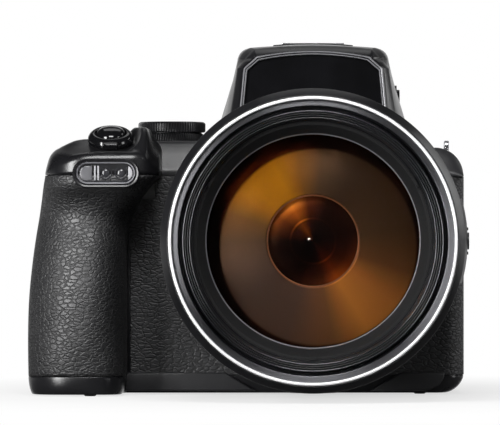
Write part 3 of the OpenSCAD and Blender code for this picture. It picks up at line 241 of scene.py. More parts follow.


# The amber's bright fans, upper left and lower right, are painted highlights in this ramp; the amber hue is
# the coating's own.
amber_painted_fans = fan_ramp("#2e2218", [
    (220, "#3c302b"), (255, "#4c3b34"), (282, "#6c4930"), (302, "#b27434"), (322, "#a06632"),
    (342, "#5c3d26"), (8, "#3c2c1f"), (60, "#2f231b"), (84, "#32251a"), (100, "#4e3214"),
    (118, "#7c520c"), (138, "#744c0e"), (162, "#3c2814")])
# Outside a circle set off to the lower right the amber is darker: a painted shadow of the retainer's rim at
# the upper left, added to the real one.
amber_painted_rim_shadow = [(0.0, "#7a5238"), (0.122, "#7a5238"), (0.145, "#ffffff"), (1.0, "#ffffff")]
amber_cell_painted_fans = fanned("amber_coat_painted_fans", amber_painted_fans, amber_painted_rim_shadow, 0.42, 0.7, (1.7, -2.0))
# The deep group's bright fans are painted highlights in this ramp, on the coating's own red-brown.
deep_painted_fans = fan_ramp("#1c0c04", [
    (240, "#180a03"), (285, "#35180a"), (303, "#74360f"), (330, "#3c1b07"), (10, "#180a03"),
    (70, "#1e0d05"), (98, "#4e240d"), (122, "#c07428"), (145, "#6e3a12")])
deep_rings = [(0.0, "#ffffff"), (0.62, "#ffffff"), (0.7, "#a08c78"), (0.79, "#6c5c50"), (0.795, "#b0a684"),
              (0.806, "#b0a684"), (0.812, "#5c4c40"), (1.0, "#44372c")]
deep_coat_painted_fans = fanned("deep_red_coat_painted_fans", deep_painted_fans, deep_rings, 0.4, 0.3)
copper = grained("copper_coated_lip", "#7a4a28", "#64381c", 0.4, 0.4, 0.01, Metallic=0.4)
print("glass and coatings made")

# %% [markdown]
# ## Frame pieces that keep their shape
# Every CAD piece gets its surface and a small rounded edge, as a moulded or machined piece has.
# The CAD mesh itself is loose triangles, so its points are merged before the edges are rounded.

# %% Dress the CAD pieces
def dress(names, mat, edge, sharpest=32):
    """Gives CAD pieces a surface and a rounded edge in mm; edges flatter than the angle stay as they are."""
    for name in names.split():
        piece = nodes[name]
        piece.data.materials.clear()
        piece.data.materials.append(mat)
        weld = piece.modifiers.new("merge points", "WELD")
        weld.merge_threshold = 0.00001
        bevel = piece.modifiers.new("rounded edge", "BEVEL")
        bevel.width = edge * mm
        bevel.segments = 3
        bevel.limit_method = "ANGLE"
        bevel.angle_limit = math.radians(sharpest)
        bevel.harden_normals = False
        piece.modifiers.new("even shading", "WEIGHTED_NORMAL")


dress("front_cover rear_cover base_plate battery_door connector_cover", satin, 0.5)
dress("top_cover hump_housing flash_head", satin, 0.6)
dress("monitor_arm monitor_housing", satin, 0.4)
dress("grip_rubber", grip_leather, 0.6)
dress("leatherette_pads", pad_leather, 0.5)
dress("eyecup", soft_rubber, 0.8)
dress("accessory_shoe strap_lugs tripod_bush case_screws hinge_pins zoom_motor", steel, 0.2)
dress("fixed_barrel middle_barrel", anodised, 0.3)
dress("lens_chassis", cast, 0.2)
dress("main_board image_sensor", board, 0.1)
dress("battery", wrap, 0.3)
dress("evf_display battery_case connector_block", flock, 0.2)
dress("front_panel af_window screen_glass", gloss_black, 0.25)
dress("eyepiece_lens", clear_glass, 0.2)
dress("flash_window", flash_lens, 0.1)
dress("iris_blades inner_lens_cell", flock, 0.05)
dress("inner_lens", clear_glass, 0.1)
dress("control_ring mode_dial command_dial diopter_dial multi_selector af_selector side_zoom_lever",
      control, 0.2)
dress("zoom_lever shutter_button power_button fn_button snap_back_button flash_release", control, 0.3)
dress("movie_button play_button menu_button delete_button display_button ael_button ok_button", control, 0.25)
print("CAD pieces dressed")

# %% [markdown]
# ## Turned lens pieces
# The rings of a lens are turned on a lathe from tube, so each is a section swept once round the axis.
# A section is drawn by its corners, and each corner is broken by a small arc, as a turner does.

# %% Helpers for pieces
def rounded(corners, radius, steps=4):
    """A closed outline with every corner eased by a small curve that stays inside its two sides."""
    outline = []
    for i, corner in enumerate(corners):
        p = Vector(corner)
        before = Vector(corners[i - 1]) - p
        after = Vector(corners[(i + 1) % len(corners)]) - p
        cut = min(radius, before.length * 0.45, after.length * 0.45)
        a = p + before.normalized() * cut
        b = p + after.normalized() * cut
        for k in range(steps + 1):
            t = k / steps
            outline.append((1 - t) ** 2 * a + 2 * t * (1 - t) * p + t ** 2 * b)
    return outline


lens_centre = (0, 0, lens_z)
forward = (0, -1, 0)
upward = (0, 0, 1)


def turned(section, closed=True, steps=224, centre=lens_centre, axis=forward):
    """Sweeps a section of points (radius, distance along the axis) round an axis through a centre in mm."""
    bm = bmesh.new()
    row = [bm.verts.new((r * mm, 0, h * mm)) for r, h in section]
    edges = [bm.edges.new(pair) for pair in zip(row, row[1:])]
    if closed:
        edges.append(bm.edges.new((row[-1], row[0])))
    bmesh.ops.spin(bm, geom=row + edges, cent=(0, 0, 0), axis=(0, 0, 1),
                   angle=2 * math.pi, steps=steps, use_merge=True)
    stand(bm, centre, axis)
    return bm


def stand(bm, centre, axis):
    """Turns a mesh built along z so that it points along an axis, and moves it to a centre in mm."""
    turn = Vector((0, 0, 1)).rotation_difference(Vector(axis)).to_matrix().to_4x4()
    bmesh.ops.transform(bm, matrix=Matrix.Translation(Vector(centre) * mm) @ turn, verts=bm.verts)


def off_axis(point):
    """Distance of a point from the lens axis, in mm."""
    return math.hypot(point.x, point.z - lens_z * mm) / mm


def finish(bm, name, body, mats, stands_for="", sharp=40):
    """Merges, turns the normals outward, shades smooth up to an angle, and hands the piece to its body."""
    bmesh.ops.remove_doubles(bm, verts=bm.verts, dist=0.000002)
    bmesh.ops.recalc_face_normals(bm, faces=bm.faces)
    mesh = bpy.data.meshes.new(name)
    bm.to_mesh(mesh)
    bm.free()
    for polygon in mesh.polygons:
        polygon.use_smooth = True
    mesh.set_sharp_from_angle(angle=math.radians(sharp))
    for mat in mats if isinstance(mats, list) else [mats]:
        mesh.materials.append(mat)
    piece = bpy.data.objects.new(name, mesh)
    bpy.context.scene.collection.objects.link(piece)
    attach(piece, body)
    if stands_for:
        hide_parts(*stands_for.split())
    print(name, "on", body, len(mesh.polygons), "faces")
    return piece


# %% [markdown]
# The front ring carries the flange, the seat of the bright ring, a turned bevel and the stepped thread.
# The turned bevel throws light back in fans, so its shine is drawn out round the axis.

# %% Front ring
def turned_metal(name, light, dark, rough, stretch):
    """Turned and anodised metal: fine rings round the axis, and a shine drawn out across them."""
    mat, tree, shader, place = blank(name)
    flat = add(tree, "ShaderNodeMapping", {"Vector": place, "Location": (0, 0, -lens_z * mm)})
    round_axis = add(tree, "ShaderNodeVectorMath", {0: flat.outputs["Vector"], 1: (0, 1, 0)},
                     operation="CROSS_PRODUCT")
    radius = add(tree, "ShaderNodeVectorMath", {0: round_axis.outputs["Vector"]}, operation="LENGTH")
    rings = add(tree, "ShaderNodeTexNoise", {"W": radius.outputs["Value"], "Scale": 1 / (0.12 * mm)},
                noise_dimensions="1D")
    tone = add(tree, "ShaderNodeValToRGB", {"Fac": rings.outputs["Fac"]}, [(0.3, dark), (0.7, light)])
    gloss = add(tree, "ShaderNodeMapRange", {"Value": rings.outputs["Fac"], "To Min": rough - 0.06,
                                             "To Max": rough + 0.06})
    feed(tree, shader, {"Base Color": tone.outputs["Color"], "Roughness": gloss.outputs["Result"],
                        "Tangent": round_axis.outputs["Vector"], "Metallic": 1.0, "Anisotropic": stretch,
                        "Anisotropic Rotation": quarter_turn})
    return mat


turned_bevel = turned_metal("turned_bevel_black_anodised", "#6c6c6f", "#58585b", 0.42, 0.9)
thread_front = 130.2
thread_steps = 4
thread_in, thread_out = 38.6, 41.4
pitch = (thread_out - thread_in) / thread_steps
thread = []
for i in range(thread_steps):
    outer = thread_out - i * pitch
    level = thread_front - 0.55 * i
    thread += [(outer, level - 0.75), (outer - 0.18, level), (outer - 0.45, level)]
rim = [(37.9, 22), (39.8, 22), (39.8, 25), (39.2, 25), (39.2, 121.8), (46.8, 121.8), (46.8, 110), (48.3, 110),
       (48.3, 126.9), (46.1, 130.6), (45.8, 130.2), (45.8, 129), (44.7, 129), (44.7, 129.9), (42.75, 130.0),
       (42.4, 128.6), (42.3, 126.0), (41.8, 126.0), *thread, (38.3, 126.0), (37.9, 125.4)]
front_ring = finish(turned(rounded(rim, 0.16)), "front_ring", "front_stage", anodised, "front_barrel",
                    50)
front_ring.data.materials.append(turned_bevel)
for polygon in front_ring.data.polygons:
    out = off_axis(polygon.center)
    on_bevel = 42.5 < out < 44.8 and polygon.center.y < -128 * mm
    on_thread = (38.4 < out < 39.5 or 40.8 < out < 41.6) and polygon.center.y < -127 * mm
    if polygon.normal.y < -0.5 and (on_bevel or on_thread):
        polygon.material_index = 1

# %% [markdown]
# A bright ring of clear anodised aluminium is pressed into its groove, and its crown stands a little proud.

# %% Bright ring
crown = [(44.75, 129.1), (44.75, 130.6), (45.0, 131.1), (45.5, 131.0), (45.8, 130.4), (45.8, 129.1)]
finish(turned(rounded(crown, 0.3)), "bright_ring", "front_stage", silver, "silver_ring")

# %% [markdown]
# The retainer screws in from the front and holds the glass. Three notches take the spanner.

# %% Retainer with notches
cone = [(36.9, 118.2), (37.85, 118.2), (37.85, 125.1), (36.8, 125.1), (34.2, 121.2), (33.8, 120.6),
        (34.2, 119.9)]
retainer = turned(rounded(cone, 0.06, 3))
notch_width = math.radians(2.2)
notched = []
for face in retainer.faces:
    centre = face.calc_center_median()
    turn = math.atan2(centre.z - lens_z * mm, centre.x)
    out = off_axis(centre)
    near = min(abs(math.remainder(turn - math.radians(a), 2 * math.pi)) for a in (30, 150, 270))
    if near < notch_width and 36.85 < out < 37.7 and centre.y < -125.0 * mm:
        notched.append(face)
bmesh.ops.inset_region(retainer, faces=notched, thickness=0.05 * mm, depth=-1.0 * mm)
# The inner edge is drawn in a lighter metal, a painted highlight that shows as a fine bright line.
edge_painted_highlight = grained("turned_edge_painted_highlight", "#6e6e72", "#606064", 0.34, 0.2, 0.004, Metallic=0.3)
retainer_ring = finish(retainer, "retainer_ring", "front_stage", [flock, edge_painted_highlight], "lens_retainer")
for polygon in retainer_ring.data.polygons:
    out = off_axis(polygon.center)
    if out < 34.16 and polygon.center.y < -120.4 * mm:
        polygon.material_index = 1

# %% [markdown]
# The front element is ground to a ball of about 160 mm radius. The shell drawn here is of even
# thickness, so the view through it stays true.

# %% Front element
ball = 160.6
shell = 1.4
edge_r = 36.6
arc = [edge_r * k / 24 for k in range(25)]
face_line = [(r, 122.5 - (ball - math.sqrt(ball ** 2 - r ** 2))) for r in arc]
section = face_line + [(r, f - shell) for r, f in reversed(face_line)]
finish(turned(section, closed=False), "front_element", "front_stage", front_glass, "front_lens")

# %% [markdown]
# Behind the glass lies the coated shoulder of the front group, which falls away to the rim, so a lamp at one
# side lights a fan on that side, and brighter fans are painted into its colour as highlights. A
# copper-coloured lip holds the second element, a ball face with the aperture's edge as a fine ring.

# %% Front group
shoulder = [(33.7, 113.4), (33.7, 115.2), (15.0, 119.4), (14.6, 119.2), (14.6, 117.2), (15.2, 116.8)]
finish(turned(rounded(shoulder, 0.15, 3)), "coated_shoulder", "front_stage", amber_cell_painted_fans, "")
lip = [(14.3, 117.6), (14.5, 119.0), (14.72, 119.4), (14.5, 119.5), (14.25, 119.2)]
finish(turned(rounded(lip, 0.12, 3)), "copper_lip", "front_stage", copper, "")
group_ball = 70
group_face = [(14.3 * k / 20, 119.2 - (group_ball - math.sqrt(group_ball ** 2 - (14.3 * k / 20) ** 2)))
              for k in range(21)]
finish(turned(group_face + [(r, f - 1.5) for r, f in reversed(group_face)], closed=False), "second_element",
       "front_stage", deep_coat_painted_fans, "")

# %% [markdown]
# ## Grip
# The grip is a hollow plastic core with a grained rubber skin moulded to it. Its front bulges for the palm
# and falls back below the head, where the middle finger lies. The skin is a sheet laid over one plan after
# another up the grip, and then given its thickness.

# %% Helpers for lofted skins
def curve(points, at):
    """A smooth curve through a few points (place, value)."""
    places = [p for p, _ in points]
    values = [v for _, v in points]
    at = min(max(at, places[0]), places[-1])
    i = min(max(k for k, p in enumerate(places) if p <= at), len(places) - 2)

    def slope(k):
        a, b = max(k - 1, 0), min(k + 1, len(places) - 1)
        return (values[b] - values[a]) / (places[b] - places[a])

    width = places[i + 1] - places[i]
    t = (at - places[i]) / width
    return ((2 * t ** 3 - 3 * t ** 2 + 1) * values[i] + (t ** 3 - 2 * t ** 2 + t) * width * slope(i)
            + (3 * t ** 2 - 2 * t ** 3) * values[i + 1] + (t ** 3 - t ** 2) * width * slope(i + 1))


def ease(start, end, at):
    """Rises smoothly from 0 at the start to 1 at the end."""
    t = min(max((at - start) / (end - start), 0.0), 1.0)
    return t * t * (3 - 2 * t)


def loft(rows):
    """A sheet through rows of points in mm, all rows of the same length."""
    bm = bmesh.new()
    across, up = len(rows[0]) - 1, len(rows) - 1
    bmesh.ops.create_grid(bm, x_segments=across, y_segments=up, size=0.5)
    for vert in bm.verts:
        i = round((vert.co.x + 0.5) * across)
        j = round((vert.co.y + 0.5) * up)
        vert.co = Vector(rows[j][i]) * mm
    return bm


def thicken(piece, thickness):
    """Gives a sheet its thickness in mm, inward."""
    solid = piece.modifiers.new("thickness", "SOLIDIFY")
    solid.thickness = thickness * mm
    solid.offset = -1.0
    return piece


def grip_plan(x_out, x_in, y_front, r_out, r_in, y_outer, y_inner):
    """The grip's plan from the back of its outer side, round its front, to the body beside the lens."""
    plan = [(x_out, y_outer + (y_front + r_out - y_outer) * k / 14) for k in range(14)]
    for k in range(16):
        a = math.pi * (1 + k / 32)
        plan.append((x_out + r_out * (1 + math.cos(a)), y_front + r_out * (1 + math.sin(a))))
    plan += [(x_out + r_out + (x_in - r_in - x_out - r_out) * k / 12, y_front) for k in range(12)]
    for k in range(16):
        a = math.pi * (1.5 + k / 32)
        plan.append((x_in - r_in * (1 - math.cos(a)), y_front + r_in * (1 + math.sin(a))))
    plan += [(x_in, y_front + r_in + (y_inner - y_front - r_in) * k / 16) for k in range(17)]
    return plan


def round_plan(x_out, x_in, y_front, peak, deep_out, deep_in, y_outer, y_inner):
    """The same plan with a rounder front: two quarter ellipses that meet at the foremost point."""
    plan = [(x_out, y_outer + (y_front + deep_out - y_outer) * k / 14) for k in range(14)]
    for k in range(44):
        a = math.pi * (k / 43 - 0.5)
        wide, deep = (peak - x_out, deep_out) if a < 0 else (x_in - peak, deep_in)
        plan.append((peak + wide * math.sin(a), y_front + deep * (1 - math.cos(a))))
    start = y_front + deep_in
    plan += [(x_in, start + (y_inner - start) * (k + 1) / 17) for k in range(17)]
    return plan


# %% [markdown]
# The grip's front line and outer line are drawn from the side and from the front. At each height they give
# a plan, and the skin runs through these plans from the base to the seam.

# %% Grip skin
seam_z = 73.3
half_seam = 0.12
front_y = -19.5
side_back = 8
head_front = -53.5
grip_front = [(0.5, -46.6), (6.5, -47.6), (20, -50.1), (34, -51), (48, -49.2), (59, -46.3), (65, -48.4),
              (69.5, -52.6), (73.3, head_front)]
grip_out = [(0.5, -94.4), (6.5, -94.9), (30, -94.8), (52, -92.6), (73.3, -88.9)]
flank = -62.4
head_flank = -50.8
sweep_start = 44
grip_peak = -74.5


def grip_row(z):
    """The grip's plan at a height: a round palm that turns squarer to the head and to the base."""
    sweep_in = max(0.0, (z - sweep_start) / (seam_z - sweep_start)) ** 3
    x_in = flank + (head_flank - flank) * sweep_in
    x_out, y_front = curve(grip_out, z), curve(grip_front, z)
    square = grip_plan(x_out, x_in, y_front, 13, 8.5 + 1.5 * sweep_in, side_back, front_y)
    palm = round_plan(x_out, x_in, y_front, grip_peak, 18, 17, side_back, front_y)
    to_head = max(ease(57, 71, z), 0.6 * (1 - ease(8, 26, z)))
    return [(a + (c - a) * to_head, b + (d - b) * to_head, z) for (a, b), (c, d) in zip(palm, square)]


base_top = 6.6
rows = 60
skin_rows = [grip_row(base_top + (seam_z - half_seam - base_top) * k / rows) for k in range(rows + 1)]
skin = finish(loft(skin_rows), "grip_skin", "camera_body", grip_leather, "grip_rubber", 60)
thicken(skin, 1.2)

# %% [markdown]
# ## Front shell
# Beside the lens the front cover is a flat wall that carries the pads. It ends at the barrel in a round
# opening, and at the right it turns a corner of 6 mm to the side of the camera.

# %% Front shell
opening = 47.3
side_x = 50.7
corner = 6


def opening_half(z):
    """Half the width of the round opening at a height."""
    return math.sqrt(max(opening ** 2 - (z - lens_z) ** 2, 0.0))


wall_z = [base_top + (seam_z - half_seam - base_top) * k / 40 for k in range(41)]
left_wall = [[(-64 + (64 - opening_half(z)) * k / 8, front_y, z) for k in range(9)] for z in wall_z]
right_wall = []
for z in wall_z:
    # At the height of the lens the wall starts just short of the corner.
    start = min(opening_half(z), side_x - corner - 0.3)
    row = [(start + (side_x - corner - start) * k / 6, front_y, z) for k in range(6)]
    for k in range(11):
        a = math.pi * (1.5 + k / 20)
        row.append((side_x - corner + corner * math.cos(a), front_y + corner + corner * math.sin(a), z))
    row += [(side_x, front_y + corner + (side_back - front_y - corner) * k / 4, z) for k in range(1, 5)]
    right_wall.append(row)
thicken(finish(loft(left_wall), "front_wall_left", "camera_body", satin, "front_cover"), 1.5)
thicken(finish(loft(right_wall), "front_wall_right", "camera_body", satin, ""), 1.5)

# %% [markdown]
# ## Base
# The base is a shallow tray under the body. Its wall carries on the plan of the grip and of the front wall,
# its lower edge is rounded, more so at the plain end, and its floor is let in a little. The battery door
# closes an opening in the floor.

# %% Base tray
floor_in = 0.9
back_y = 33.9
back_corner = 6
all_round = 0.24
end_from = 20
grip_lift = 0.4
edge_top = 4.6


def arc_points(x, y, r, start, end, steps=8):
    """Points on a part of a circle, from one angle to another in degrees."""
    turns = [math.radians(start + (end - start) * k / steps) for k in range(steps + 1)]
    return [(x + r * math.cos(a), y + r * math.sin(a)) for a in turns]


tray = [(x, y) for x, y, z in grip_row(base_top)]
tray += [(x, front_y) for x in range(-58, 42, 4)]
tray += arc_points(side_x - corner, front_y + corner, corner, -90, 0)
tray += [(side_x, y) for y in range(-8, 28, 6)]
tray += arc_points(side_x - back_corner, back_y - back_corner, back_corner, 0, 90)
tray += [(x, back_y) for x in range(44, -90, -6)]
tray += arc_points(tray[0][0] + back_corner, back_y - back_corner, back_corner, 90, 180)
tray += [(tray[0][0], y) for y in (26, 20, 14)]


def drawn_in(outline, distance):
    """A closed outline moved inward by a share of a distance, and at the plain end by all of it."""
    moved = []
    for i, (x, y) in enumerate(outline):
        before, after = Vector(outline[i - 1]), Vector(outline[(i + 1) % len(outline)])
        along = (after - before).normalized()
        step = all_round * distance
        squeeze = (1 - all_round) * distance * max(0.0, x - end_from) / (side_x - end_from)
        moved.append((x - along.y * step - squeeze, y + along.x * step))
    return moved


# Heights of the wall, the rounded edge, the lip and the floor, each with its distance inward.
tray_rows = []
tray_profile = [(base_top - 0.15, 0.25), (base_top - 0.35, 0.05), (5.6, 0.1), (4.6, 0.5), (3.6, 1.1),
                (2.6, 1.95), (1.8, 2.9), (1.1, 4.0), (0.7, 5.0), (0.5, 6.0), (0.5, 6.6), (floor_in, 6.9)]
for z, distance in tray_profile:
    ring = drawn_in(tray, distance)
    lift = grip_lift * max(0.0, 1 - z / edge_top) if z != floor_in else 0.0
    tray_rows.append([(x, y, z + lift * (1 - ease(-62, -40, y))) for x, y in ring + ring[:1]])
tray_bm = loft(tray_rows)
tray_bm.faces.new([tray_bm.verts.new(Vector(q) * mm) for q in tray_rows[-1][:-1]])
door_low, door_high = (-90.2, -36.2), (-65.0, 11.2)
for limit, normal in ((door_low[0], (1, 0, 0)), (door_high[0], (1, 0, 0)), (door_low[1], (0, 1, 0)),
                      (door_high[1], (0, 1, 0))):
    flat_faces = [f for f in tray_bm.faces if all(abs(v.co.z - floor_in * mm) < 1e-7 for v in f.verts)]
    flat_edges = list(dict.fromkeys(e for f in flat_faces for e in f.edges))
    flat_verts = list(dict.fromkeys(v for f in flat_faces for v in f.verts))
    bmesh.ops.bisect_plane(tray_bm, geom=flat_faces + flat_edges + flat_verts,
                           plane_co=Vector(normal) * limit * mm, plane_no=normal)
opening_faces = []
for f in tray_bm.faces:
    middle = f.calc_center_median() / mm
    inside = door_low[0] < middle.x < door_high[0] and door_low[1] < middle.y < door_high[1]
    if inside and abs(middle.z - floor_in) < 0.01:
        opening_faces.append(f)
bmesh.ops.delete(tray_bm, geom=opening_faces, context="FACES")
thicken(finish(tray_bm, "base_tray", "camera_body", satin, "base_plate", 40), 1.2)
foot = [(0.0, 0.0), (1.6, 0.0), (2.0, 0.25), (2.0, 1.2), (0.0, 1.2)]
for n, (foot_x, foot_y) in enumerate(((-74, -41), (36, -11.5), (36, 26), (-60, 26))):
    foot_bm = turned(foot, False, 32, (foot_x, foot_y, 0), upward)
    finish(foot_bm, f"foot_{n + 1}", "camera_body", soft_rubber, "")

# %% [markdown]
# Below the lens the front has a raised skirt at each side, cut off on the slant beside the barrel.

# %% Skirts
def pad(outline_points, y_back, y_front, bevel=0.15):
    """A flat piece with a rounded front edge, from an outline of points (x, z)."""
    bm = bmesh.new()
    face = bm.faces.new([bm.verts.new((x * mm, y_back * mm, z * mm)) for x, z in outline_points])
    made = bmesh.ops.extrude_face_region(bm, geom=[face])["geom"]
    moved = [g for g in made if isinstance(g, bmesh.types.BMVert)]
    bmesh.ops.translate(bm, vec=(0, (y_front - y_back) * mm, 0), verts=moved)
    rim_edges = [g for g in made if isinstance(g, bmesh.types.BMEdge)]
    bmesh.ops.bevel(bm, geom=rim_edges, offset=bevel * mm, segments=3, profile=0.5, affect="EDGES",
                    material=-1)
    return bm


skirt_y = front_y - 1.3
skirt_left = [(-63.5, 1.2), (-19.2, 1.2), (-29.4, 7.3), (-63.5, 7.3)]
skirt_right = [(19.2, 1.2), (37.0, 1.2), (40.0, 1.8), (42.3, 3.1), (43.8, 5.0), (44.4, 7.3), (29.4, 7.3)]
# The skirts are drawn in the lighter plastic, a painted highlight where their faces catch the light.
for name, lip_outline in (("skirt_left", skirt_left), ("skirt_right", skirt_right)):
    finish(pad(lip_outline, front_y, skirt_y, 0.6), name, "camera_body", painted, "", 30)

# %% [markdown]
# ## Head and deck
# The top cover is one moulding: a head over the grip that carries the shutter button, and a deck behind and
# beside it. The head's top slopes to the front, and on the lens side it sweeps up into a ridge that guards
# the mode dial. Its outer shoulder is a wide curve, and its front edge a tight one.

# %% Head over the grip
shutter_place = (-67, -43.5, 84.2)
deck_top = 85.4
slope_back = -40.9
slope = math.tan(math.radians(25))
ridge_rise = 3.9
shoulder_line = [(0.0, 0.0), (0.03, 0.16), (0.1, 0.42), (0.18, 0.57), (0.26, 0.65), (0.36, 0.715),
                 (0.55, 0.83), (0.78, 0.95), (1.0, 1.0)]
shoulder_width = 14.4


def head_top(x, y):
    """Height of the head's top surface: a slope to the front, and the ridge beside the dial."""
    falls = slope * max(0.0, slope_back - y)
    from_lever = math.hypot(x - shutter_place[0], y - shutter_place[1])
    guard = ease(8.2, 10.6, from_lever) * ease(-64, -59, x) * (1 - ease(-55.6, -52.2, x)) * ease(-53, -42, y)
    flank_falls = 3.4 * ease(-56, -50.8, x) * (1 - ease(-26, -16, y))
    brow = 1.1 * (1 - ease(-53.5, -50, y))
    return deck_top - falls + ridge_rise * guard - flank_falls + brow


outline = grip_plan(-88.9, head_flank, head_front, 13, 10, -10, -17)
spine_back, spine_front = (-70, -12), (-69, -38)
last = len(outline) - 1
head_rows = []
wall_rows = 3
top_rows = 44
for k in range(wall_rows + top_rows + 1):
    row = []
    for i, (x0, y0) in enumerate(outline):
        outer = 1 - ease(12, 34, i)
        inner = ease(44, 58, i)
        front = max(0.0, 1 - outer - inner)
        reach_x = 3.6 * inner + 2.6 * front + 2.6 * outer
        reach_z = 4.0 * inner + 2.6 * front + 2.6 * outer
        along = 1 - abs(2 * i / last - 1)
        to_front = min(1.0, along * 1.6)
        x1 = spine_back[0] + (spine_front[0] - spine_back[0]) * to_front
        y1 = spine_back[1] + (spine_front[1] - spine_back[1]) * to_front
        inward = (max(0, k - wall_rows) / top_rows) ** 1.8
        x, y = x0 + (x1 - x0) * inward, y0 + (y1 - y0) * inward
        depth = math.hypot(x - x0, y - y0)
        top = head_top(x, y)
        springs = max(seam_z + 0.3, top - reach_z)
        rise = math.sqrt(max(0.0, 1 - max(0.0, 1 - depth / reach_x) ** 2))
        shoulder = seam_z + 0.3 + (top - seam_z - 0.3) * curve(shoulder_line, depth / shoulder_width)
        z = (springs + (top - springs) * rise) * (1 - outer) + shoulder * outer
        if k < wall_rows:
            z = seam_z + half_seam + (z - seam_z - half_seam) * k / wall_rows
        row.append((x, y, z))
    head_rows.append(row)
head_bm = loft(head_rows)
well_r = 6.0
well = [f for f in head_bm.faces
        if (f.calc_center_median() / mm - Vector(shutter_place)).length < well_r]
bmesh.ops.delete(head_bm, geom=well, context="FACES")
head = finish(head_bm, "head_shell", "camera_body", head_plastic, "", 70)
thicken(head, 1.0)

# %% [markdown]
# The deck is a sheet behind the head and beside the hump, a little lower on the plain side. It falls to the
# seam in a slope at the front, and in a wide shoulder at both ends.

# %% Deck behind the head and beside the hump
deck_left, deck_right = -88.7, 50.7
plain_end = 41.3


def deck_height(x):
    """The deck's height across the camera, with a wide shoulder at each end."""
    level = deck_top - 0.1 - 2.3 * ease(-8, 8, x)
    if x < deck_left + shoulder_width:
        return seam_z + 0.3 + (level - seam_z - 0.3) * curve(shoulder_line, (x - deck_left) / shoulder_width)
    if x > plain_end:
        share = (x - plain_end) / (deck_right - plain_end)
        return seam_z + 0.2 + (level - seam_z - 0.2) * math.sqrt(max(0.0, 1 - share ** 2))
    return level


deck_profile = [(-20.0, 0.0), (-18.7, 0.22), (-16.4, 0.62), (-14.8, 0.9), (-14.2, 0.965), (-13.3, 1.0),
                (-8, 1.0), (4, 1.0), (18, 1.0), (28, 1.0), (31, 0.96), (33, 0.8), (34, 0.5), (34, 0.0)]
deck_rows = []
for y, share_up in deck_profile:
    row = []
    for k in range(97):
        turn = math.pi * k / 96
        x = (deck_left + deck_right) / 2 - (deck_right - deck_left) / 2 * math.copysign(
            1 - (1 - abs(math.cos(turn))) ** 0.9, math.cos(turn))
        row.append((x, y, seam_z + half_seam + (deck_height(x) - seam_z - half_seam) * share_up))
    deck_rows.append(row)
# The deck's plastic is drawn a little lighter than the satin, a painted highlight.
deck = finish(loft(deck_rows), "deck_shell", "camera_body", painted, "top_cover", 50)
thicken(deck, 1.0)

# %% [markdown]
# ## Hump
# The hump is one form: a panel frame with two fine crests, a facet round it, and sides that lean in to an
# arched roof. Its front upper part is the lid of the flash, so the form is lofted once and then cut along
# the lid's parting line.

# %% Hump form
frame_lean = 3.5 / 31.5


def frame_y(z):
    """Depth of the hump's leaning front at a height."""
    return -39 + frame_lean * (z - 80)


def arch_row(foot, shoulder, crown, top, depth, bulge=0.0):
    """Half section of the hump, mirrored: foot, side to the shoulder, chamfer to the crown, and an arch."""
    half = []
    for a, b, count, out in ((foot, shoulder, 10, 0.0), (shoulder, crown, 6, bulge)):
        for k in range(count):
            share = k / count
            swell = out * 4 * share * (1 - share)
            half.append((a[0] + (b[0] - a[0]) * share + swell, a[1] + (b[1] - a[1]) * share + swell))
    for k in range(13):
        x = crown[0] * (1 - k / 12)
        half.append((x, top - (top - crown[1]) * (x / crown[0]) ** 2))
    full = [(-x, z) for x, z in half] + [(x, z) for x, z in reversed(half[:-1])]
    return [(x, depth(z), z) for x, z in full]


def in_front(offset):
    """A row that leans with the frame, a distance behind it."""
    return lambda z: frame_y(z) + offset


def at_depth(y):
    """A row that stands upright at one depth."""
    return lambda z: y


